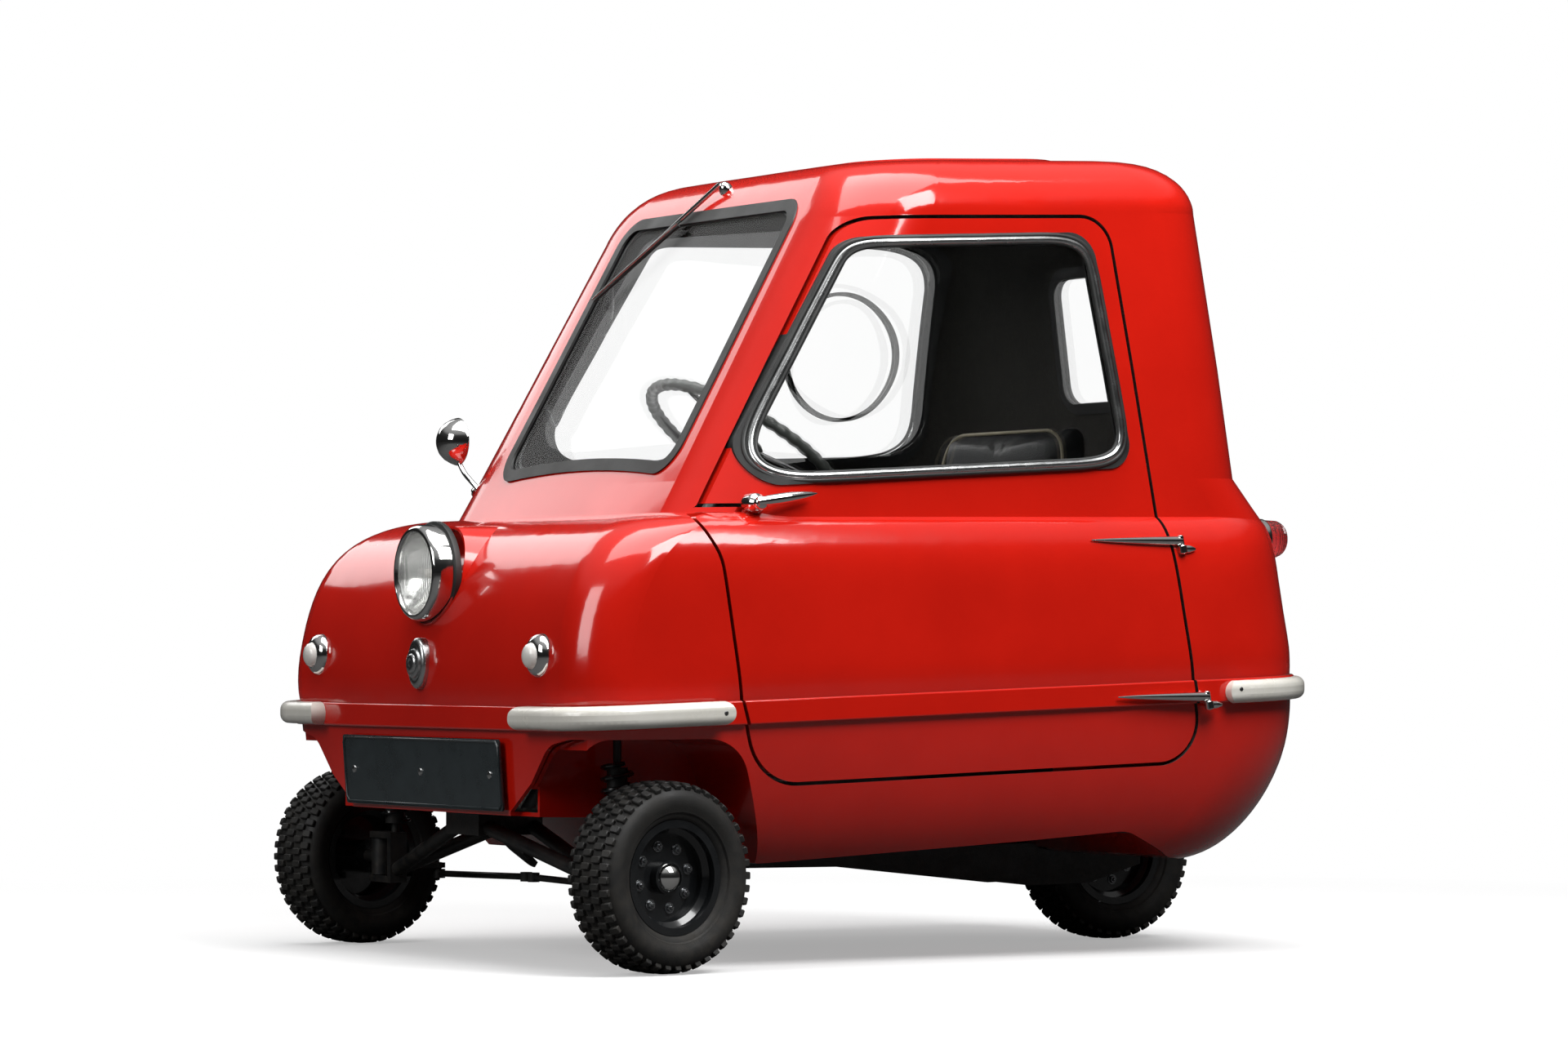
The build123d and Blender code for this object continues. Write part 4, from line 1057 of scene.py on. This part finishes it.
@dataclass
class Outfit:
    """The mirror, the wiper, the tail lamps and the small fittings of the plates and bumpers."""

    front_axle: float
    bowl_radius: float = 38.0
    lamp_radius: float = 31.0
    edge_inset: float = 3.5
    edge_corner: float = 7.0
    edge_radius: float = 2.2
    screw_stations: tuple[float, float] = (0.087, 0.976)
    screw_level: float = 0.366
    screw_rise: float = 0.034

    def build(self) -> None:
        """Make them all."""
        self.mirror()
        self.wiper()
        self.tail_lamps()
        self.plate_edges()
        self.bumper_screws()

    def mirror(self) -> None:
        """Make the mirror's bowl, its glass and its bent stem."""
        low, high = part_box("mirror")
        middle = Vector((low.x + self.bowl_radius * MM, low.y, high.z - self.bowl_radius * MM))
        place = placed(middle, (0, 1, 0))
        bowl = Stock()
        bowl.turned([(0.2, 0), (1.2, 9), (4, 17), (9, 24.5), (16, 30.5), (25, 35), (32, 37.4),
                     (34.5, 37.8), (35.8, 36.6), (35.2, 35.2), (33.5, 35.0), (33.5, 0)], place, 64)
        head = middle + Vector((0, 24 * MM, 0))
        bowl.tube([Vector((high.x, self.front_axle + 170 * MM, 0.694)),
                   Vector((-0.405, self.front_axle + 158 * MM, 0.716)),
                   Vector((-0.438, self.front_axle + 149 * MM, 0.742)), head], 4.0 * MM)
        foot = Vector((high.x - 22 * MM, self.front_axle + 165 * MM, 0.704))
        bowl.turned([(0, 0), (0, 9), (3, 9), (6, 6), (9, 5), (9, 0)],
                    placed(foot, (-0.8, -0.3, 0.6)), 32)
        bowl.piece("mirror_bowl", Finishes.chrome, "car_body", ["mirror"])
        glass = Stock()
        glass.turned([(33.4, 0), (33.4, 34.9), (34.4, 34.6), (34.8, 0)], place, 64)
        glass.piece("mirror_glass", Finishes.reflector, "car_body")

    def wiper(self) -> None:
        """Make the wiper's pivot, arm and blade."""
        axle = self.front_axle
        arm = Stock()
        pivot = placed((-0.014, axle + 0.392, 1.160), (0, -0.65, 0.76))
        arm.turned([(-30, 0), (-30, 9), (-4, 9), (-2, 11), (4, 11), (9, 9.5), (14, 6), (16, 0)],
                   pivot, 40)
        elbow = Vector((-0.014, axle + 0.380, 1.170))
        tip = Vector((-0.152, axle + 0.311, 1.061))
        arm.tube([elbow, elbow.lerp(tip, 0.35), elbow.lerp(tip, 0.7), tip], 4.2 * MM,
                 shares=(1.0, 0.95, 0.7, 0.5))
        start = Vector((-0.074, axle + 0.338, 1.112))
        end = Vector((-0.234, axle + 0.276, 1.002))
        arm.tube([start, start.lerp(end, 0.3), start.lerp(end, 0.7), end], 2.4 * MM,
                 shares=(0.6, 1.0, 1.0, 0.6))
        arm.piece("wiper_arm", Finishes.chrome, "car_body", ["wiper"])
        blade = Stock()
        drop = Vector((0, 0.0035, -0.003))
        blade.tube([start + drop, end + drop], 2.2 * MM, smooth=False)
        blade.piece("wiper_blade", Finishes.rubber, "car_body")

    def tail_lamps(self) -> None:
        """Make both tail lamps: a chrome base and a stepped red dome."""
        low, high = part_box("tail_lamps")
        radius = self.lamp_radius
        bases = Stock()
        domes = Stock()
        for side in (-1, 1):
            place = placed((side * (high.x - radius * MM), high.y, (low.z + high.z) / 2),
                           (0, -1, 0))
            domes.turned([(0, 0), (0.6, 9), (2.4, 17), (6, 23), (8, 25), (9, 24.2), (11, 26.8),
                          (13, 26), (15, 28.4), (40, 29.4), (40, 0)], place)
            bases.turned([(39, 20), (39, 30), (41, radius), (44, radius), (56, radius), (56, 20)],
                         place, 64, True)
        domes.piece("tail_domes", Finishes.red_lens, "car_body", ["tail_lamps"])
        bases.piece("tail_lamp_bases", Finishes.chrome, "car_body")

    def plate_edges(self) -> None:
        """Add the raised edge and the fixing screws of both blank plates."""
        half_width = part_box("number_plates")[1].x
        sizes = {"front_plate_face": (half_width, 0.052, (-0.225, 0.0, 0.225)),
                 "rear_plate_face": (0.14, 0.075, (-0.11, 0.11))}
        edges = Stock()
        screws = Stock()
        for mount in frame["record"]["mounts"]:
            if mount["name"] not in sizes:
                continue
            wide, tall, spots = sizes[mount["name"]]
            out = Vector(mount["axis"]).normalized()
            up = out.cross(Vector((1, 0, 0)))
            up = up if up.z > 0 else -up
            centre = Vector(mount["pos_m"])
            corners = []
            inset = self.edge_inset * MM
            for across, above in ((-1, -1), (1, -1), (1, 1), (-1, 1)):
                corners.append(centre + Vector((across * (wide - inset), 0, 0))
                               + up * above * (tall - inset))
            loop = []
            for index, corner in enumerate(corners):
                for other in (corners[index - 1], corners[(index + 1) % 4]):
                    loop.append(corner + (other - corner).normalized() * self.edge_corner * MM)
            edges.tube(loop, self.edge_radius * MM, closed=True, smooth=False)
            for spot in spots:
                screws.turned([(3.0, 0), (2.7, 3.0), (1.6, 5.4), (0, 6.2), (-2, 6.2), (-2, 0)],
                              placed(centre + Vector((spot, 0, 0)), out), 24)
        edges.piece("plate_edges", Finishes.plate, "car_body")
        screws.piece("plate_screws", Finishes.strip, "car_body")

    def bumper_screws(self) -> None:
        """Set a small dark screw at the side end of each bumper."""
        tree = skin_tree("bumpers")
        stock = Stock()
        for side in (-1, 1):
            for station in self.screw_stations:
                level = self.screw_level + self.screw_rise * station
                start = Vector((side * 0.8, self.front_axle + station, level))
                spot, normal, _, _ = tree.ray_cast(start, Vector((-side, 0, 0)), 0.6)
                if spot:
                    stock.turned([(1.2, 0), (1.0, 2.4), (0, 3.4), (-2, 3.4), (-2, 0)],
                                 placed(spot, normal), 20)
        stock.piece("bumper_screws", Finishes.steel, "car_body")


@dataclass
class Springs:
    """The coil springs round the front dampers."""

    coil_radius: float = 22.0
    wire_radius: float = 3.2
    turns: int = 6
    per_turn: int = 14

    def build(self) -> None:
        """Wind both springs."""
        low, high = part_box("front_dampers")
        stock = Stock()
        foot, head = low.z + 16 * MM, high.z - 36 * MM
        reach = high.x - 15 * MM
        middle = (low.y + high.y) / 2
        count = self.turns * self.per_turn
        for side in (-1, 1):
            line = []
            for index in range(count + 1):
                angle = FULL_TURN * index / self.per_turn
                line.append(Vector((side * reach + self.coil_radius * MM * math.cos(angle),
                                    middle + self.coil_radius * MM * math.sin(angle),
                                    foot + (head - foot) * index / count)))
            stock.tube(line, self.wire_radius * MM, sides=2)
        stock.piece("coil_springs", Finishes.black, "car_body")


@dataclass
class SteeringWheel:
    """The moulded rim with finger grips, its spokes and its hub."""

    rim_radius: float = 165.0
    section: float = 9.0
    grip_count: int = 46
    grip_swell: float = 0.09
    spoke_gap: float = 4.5
    spoke_radius: float = 2.6
    linkage_ratio: float = 0.62
    spoke_angles: tuple[int, ...] = (90, 210, 330)

    def build(self) -> None:
        """Make the wheel in the place of the plain one."""
        turn = joint("steering_turn")
        axis = Vector(turn["axis"]).normalized()
        data = frame["nodes"]["steering_wheel"].data
        foot = Vector(turn["pos_m"])
        heights = [(v.co - foot).dot(axis) for v in data.vertices]
        centre = foot + axis * (min(heights) + 12 * MM)
        place = placed(centre, axis, (1, 0, 0))
        rim = Stock()
        points, shares = [], []
        steps = self.grip_count * 6
        for index in range(steps):
            angle = FULL_TURN * index / steps
            points.append(Vector((0, math.cos(angle), math.sin(angle))) * self.rim_radius * MM)
            shares.append(1.0 + self.grip_swell * math.cos(angle * self.grip_count))
        rim.tube(points, self.section * MM, closed=True, shares=shares, place=place)
        rim.turned([(-12, 0), (-12, 24), (-8, 26), (8, 26), (11, 23), (13, 12), (13.5, 0)], place)
        rim.piece("moulded_wheel_rim", Finishes.plastic, "steering", ["steering_wheel"])
        spokes = Stock()
        for degrees in self.spoke_angles:
            angle = math.radians(degrees) - self.rest_turn()
            out = Vector((0, math.sin(angle), math.cos(angle)))
            for gap in (-self.spoke_gap, self.spoke_gap):
                across = Vector((1, 0, 0)).cross(out) * gap * MM
                spokes.tube([out * 22 * MM + across, out * (self.rim_radius - 4) * MM + across],
                            self.spoke_radius * MM, smooth=False, place=place)
        spokes.piece("wheel_spokes", Finishes.steel, "steering")

    def rest_turn(self) -> float:
        """How far the wheel stands turned at rest, from the front wheels' own turn."""
        axis = Vector(joint("wheel_front_left_spin")["axis"])
        return math.atan2(axis.y, axis.x) / self.linkage_ratio


class Seat:
    """The cushion and the back: leathercloth pads with pale piping."""

    voxel = 0.006
    pressure = 4.0
    frames = 20
    cap = 0.014
    crown = 0.03
    crown_share = 0.35
    thinnest = 0.05
    inset = 10 * MM
    piping_radius = 2.6 * MM
    back_corner = 45 * MM
    rim_corner = 28 * MM
    back_lean = 68 * MM
    lean_height = 0.45
    edge = 12 * MM

    def build(self) -> None:
        """Make both pads in the place of their plain solids, and their piping."""
        self.pad("seat_cushion", "cushion_pad")
        self.pad("seat_back", "backrest_pad")
        self.piping()

    @staticmethod
    def rounded_loop(corners: Sequence[Vector], radius: float) -> list[Vector]:
        """A closed loop that turns its corners in short arcs.

        Args:
            corners: the corners in order.
            radius: how far from each corner the turn starts.

        Returns:
            The points of the loop.
        """
        loop = []
        for index, corner in enumerate(corners):
            before = (corners[index - 1] - corner).normalized() * radius
            after = (corners[(index + 1) % len(corners)] - corner).normalized() * radius
            loop += [corner + before * 1.6, corner + before, corner + before * 0.3 + after * 0.3,
                     corner + after, corner + after * 1.6]
        return loop

    def outline(self, low: Vector, high: Vector, foot: tuple[float, float],
                head: tuple[float, float]) -> list[Vector]:
        """The four corners of one seam.

        Args:
            low: the solid's lowest corner, for its sides.
            high: its highest corner.
            foot: Y and Z of the seam's first edge.
            head: Y and Z of its far edge.

        Returns:
            The corners in order.
        """
        left, right = low.x + self.inset, high.x - self.inset
        return [Vector((left, *foot)), Vector((right, *foot)), Vector((right, *head)),
                Vector((left, *head))]

    def piping(self) -> None:
        """Sew pale piping round the front of the back and the top of the cushion."""
        low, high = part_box("seat_back")
        lean = self.back_lean * ((high.z - low.z - self.edge) / self.lean_height)
        foot_y, head_y = low.y + 8 * MM, low.y + lean - 4 * MM
        foot, head = (foot_y, low.z + 16 * MM), (head_y, high.z - 22 * MM)
        seams = Stock()
        seams.tube(self.rounded_loop(self.outline(low, high, foot, head), self.back_corner),
                   self.piping_radius, closed=True)
        low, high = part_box("seat_cushion")
        top = high.z - 5 * MM
        foot, head = (low.y + self.inset, top), (high.y - self.inset, top)
        seams.tube(self.rounded_loop(self.outline(low, high, foot, head), self.rim_corner),
                   self.piping_radius, closed=True)
        seams.piece("seat_piping", Finishes.piping, "car_body")

    def pad(self, node: str, name: str) -> None:
        """Blow one pad up from its solid.

        Args:
            node: the plain solid.
            name: the new piece.
        """
        data = frame["nodes"][node].data.copy()
        made = add_object(name, data)
        shape = bmesh.new()
        shape.from_mesh(data)
        bmesh.ops.remove_doubles(shape, verts=shape.verts, dist=1e-5)
        low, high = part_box(node)
        middle = (low + high) / 2
        shrink = [1 - 2 * self.crown * self.crown_share / max(side, self.thinnest)
                  for side in (high - low)]
        bmesh.ops.translate(shape, vec=-middle, verts=shape.verts)
        bmesh.ops.scale(shape, vec=shrink, verts=shape.verts)
        bmesh.ops.translate(shape, vec=middle, verts=shape.verts)
        shape.to_mesh(data)
        shape.free()
        remesh = made.modifiers.new("even", "REMESH")
        remesh.mode = "VOXEL"
        remesh.voxel_size = self.voxel
        self.apply(made)
        self.inflate(made, low, high)
        smooth = made.modifiers.new("smooth", "SUBSURF")
        smooth.levels = 1
        smooth.render_levels = 1
        made.data.shade_smooth()
        made.data.materials.clear()
        made.data.materials.append(Finishes.seat.material())
        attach(made, "car_body")
        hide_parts(node)
        LOG.info("%s: %d faces", name, len(made.data.polygons))

    @staticmethod
    def apply(made: bpy.types.Object) -> None:
        """Make the modifiers' result the object's own mesh.

        Args:
            made: the object.
        """
        graph = bpy.context.evaluated_depsgraph_get()
        result = bpy.data.meshes.new_from_object(made.evaluated_get(graph))
        old = made.data
        made.modifiers.clear()
        made.data = result
        bpy.data.meshes.remove(old)

    def inflate(self, made: bpy.types.Object, low: Vector, high: Vector) -> None:
        """Blow the pad up as cloth, held within its solid's box.

        Args:
            made: the pad.
            low: the box's lowest corner.
            high: its highest corner.
        """
        rest = [vert.co.copy() for vert in made.data.vertices]
        cloth = made.modifiers.new("cloth", "CLOTH")
        cloth.settings.use_pressure = True
        cloth.settings.uniform_pressure_force = self.pressure
        cloth.settings.effector_weights.gravity = 0.0
        cloth.point_cache.frame_start = 1
        cloth.point_cache.frame_end = self.frames
        for step in range(1, self.frames + 1):
            bpy.context.scene.frame_set(step)
        self.apply(made)
        bpy.context.scene.frame_set(1)
        for vert, start in zip(made.data.vertices, rest):
            move = vert.co - start
            if move.length > self.cap:
                vert.co = start + move.normalized() * self.cap
            for axis in range(3):
                vert.co[axis] = min(max(vert.co[axis], low[axis]), high[axis])


@dataclass
class Studio:
    """The pale floor, the soft lights and the camera at the photograph's angle."""

    azimuth: float = 60.0
    elevation: float = -1.2347583
    lens: float = 125.9
    distance_x: float = 7.2876
    behind_axle: float = -3.7226
    height: float = 0.4717
    bounce_grey: float = 0.08
    floor_grey: float = 0.62
    floor_glow: float = 0.38
    fade_start: float = 1.3
    fade_end: float = 2.8
    sky_strength: float = 0.6
    aim_height: float = 0.6
    lamps: tuple[tuple[str, tuple[float, float, float], float, float], ...] = (
        ("overhead", (0.2, -0.3, 3.7), 3.0, 100.0),
        ("key", (2.5, 0.5, 3.2), 1.8, 125.0),
        ("front", (0.9, -4.4, 2.5), 2.0, 66.0),
        ("far", (-4.0, -0.6, 2.8), 2.0, 25.0),
    )

    def build(self) -> None:
        """Set the stage."""
        self.floor()
        self.sky()
        for name, spot, size, power in self.lamps:
            self.lamp(name, Vector(spot), size, power)
        self.camera()
        bpy.context.scene.view_settings.view_transform = "Standard"

    def floor(self) -> None:
        """Lay a pale floor that stays white to the camera and keeps the car's shadow."""
        shape = bmesh.new()
        bmesh.ops.create_grid(shape, x_segments=1, y_segments=1, size=60.0)
        data = bpy.data.meshes.new("floor")
        shape.to_mesh(data)
        shape.free()
        made = add_object("floor", data)
        material = bpy.data.materials.new("pale_floor")
        material.use_nodes = True
        graph = Graph(material.node_tree)
        path = graph.node("ShaderNodeLightPath").outputs
        seen = graph.maths("MAXIMUM", path["Is Camera Ray"], path["Is Transmission Ray"])
        place = graph.node("ShaderNodeTexCoord").outputs["Object"]
        reach = graph.node("ShaderNodeVectorMath", {0: place}, operation="LENGTH").outputs["Value"]
        far = graph.node("ShaderNodeMapRange", {0: reach, 1: self.fade_start,
                                                2: self.fade_end}).outputs[0]
        grey = graph.between(seen, (self.bounce_grey,) * 3, (self.floor_grey,) * 3)
        plain = graph.node("ShaderNodeBsdfDiffuse", {"Color": grey})
        glow = graph.node("ShaderNodeEmission", {
            "Color": (1, 1, 1, 1), "Strength": graph.maths("MULTIPLY", seen, self.floor_glow)})
        near = graph.node("ShaderNodeAddShader", {0: plain.outputs[0], 1: glow.outputs[0]})
        white = graph.node("ShaderNodeEmission", {"Color": (1, 1, 1, 1)})
        both = graph.node("ShaderNodeMixShader", {0: graph.maths("MULTIPLY", seen, far),
                                                  1: near.outputs[0], 2: white.outputs[0]})
        graph.node("ShaderNodeOutputMaterial", {"Surface": both.outputs[0]})
        data.materials.append(material)

    def sky(self) -> None:
        """Surround the car with soft light that is white to the camera."""
        world = bpy.data.worlds.new("studio")
        world.use_nodes = True
        bpy.context.scene.world = world
        graph = Graph(world.node_tree)
        path = graph.node("ShaderNodeLightPath").outputs
        seen = graph.maths("MAXIMUM", path["Is Camera Ray"], path["Is Transmission Ray"])
        direction = graph.node("ShaderNodeTexCoord").outputs["Generated"]
        height = graph.node("ShaderNodeSeparateXYZ", {0: direction}).outputs[2]
        ramp = graph.node("ShaderNodeValToRGB", {0: height})
        stops = ((0.0, 0.02), (0.3, 0.03), (0.48, 0.07), (0.62, 0.45), (1.0, 0.8))
        elements = ramp.color_ramp.elements
        while len(elements) < len(stops):
            elements.new(0.5)
        for element, (spot, value) in zip(elements, stops):
            element.position = spot
            element.color = (value, value, value, 1)
        soft = graph.node("ShaderNodeBackground", {0: ramp.outputs[0], 1: self.sky_strength})
        white = graph.node("ShaderNodeBackground", {0: (1, 1, 1, 1), 1: 1.0})
        both = graph.node("ShaderNodeMixShader", {0: seen, 1: soft.outputs[0], 2: white.outputs[0]})
        graph.node("ShaderNodeOutputWorld", {"Surface": both.outputs[0]})

    def lamp(self, name: str, spot: Vector, size: float, power: float) -> None:
        """Hang one soft box that looks at the car.

        Args:
            name: the lamp's name.
            spot: where it hangs.
            size: its side in metres.
            power: its power in watts.
        """
        data = bpy.data.lights.new(name, "AREA")
        data.size = size
        data.energy = power
        made = add_object(name, data)
        made.location = spot
        aim = Vector((0, 0, self.aim_height)) - spot
        made.rotation_euler = aim.to_track_quat("-Z", "Y").to_euler()

    def camera(self) -> None:
        """Stand the camera where the photograph was taken."""
        axle = Vector(joint("kingpin_left")["pos_m"])
        data = bpy.data.cameras.new("camera")
        data.lens = self.lens
        data.sensor_width = 36.0
        made = add_object("camera", data)
        azimuth, elevation = math.radians(self.azimuth), math.radians(self.elevation)
        back = Vector((math.sin(azimuth) * math.cos(elevation),
                       -math.cos(azimuth) * math.cos(elevation), math.sin(elevation)))
        right = Vector((math.cos(azimuth), math.sin(azimuth), 0))
        up = back.cross(right)
        turn = Matrix((right, up, back)).transposed().to_4x4()
        spot = Vector((self.distance_x, self.behind_axle + axle.y, self.height))
        made.matrix_world = Matrix.Translation(spot) @ turn
        bpy.context.scene.camera = made


def dress_nodes() -> None:
    """Give every node of the frame its finish."""
    for finish, names in NODE_FINISHES.items():
        for name in names:
            slots = frame["nodes"][name].data.materials
            slots.clear()
            slots.append(finish.material())


def main() -> None:
    """Build every sub-assembly in order."""
    logging.basicConfig(level=logging.INFO, format="%(name)s %(message)s")
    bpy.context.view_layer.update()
    dress_nodes()
    wheels = [
        Wheel("front_left", "wheel_front_left", "wheel_front_left_spin", 1.0, True),
        Wheel("front_right", "wheel_front_right", "wheel_front_right_spin", -1.0, True),
        Wheel("rear", "wheel_rear", "wheel_rear_spin", 1.0, False),
    ]
    for wheel in wheels:
        wheel.build()
    front_axle = joint("kingpin_left")["pos_m"][1]
    foot, head = (Vector((0, front_axle + behind, height))
                  for behind, height in (SCREEN_FOOT, SCREEN_HEAD))
    for part in (Headlamp(), NoseFittings(), WindowTrim(foot, head), DoorFurniture(),
                 Outfit(front_axle), Springs(), SteeringWheel(), Seat(), Studio()):
        LOG.info("building %s", type(part).__name__)
        part.build()


if __name__ == "__main__":
    main()
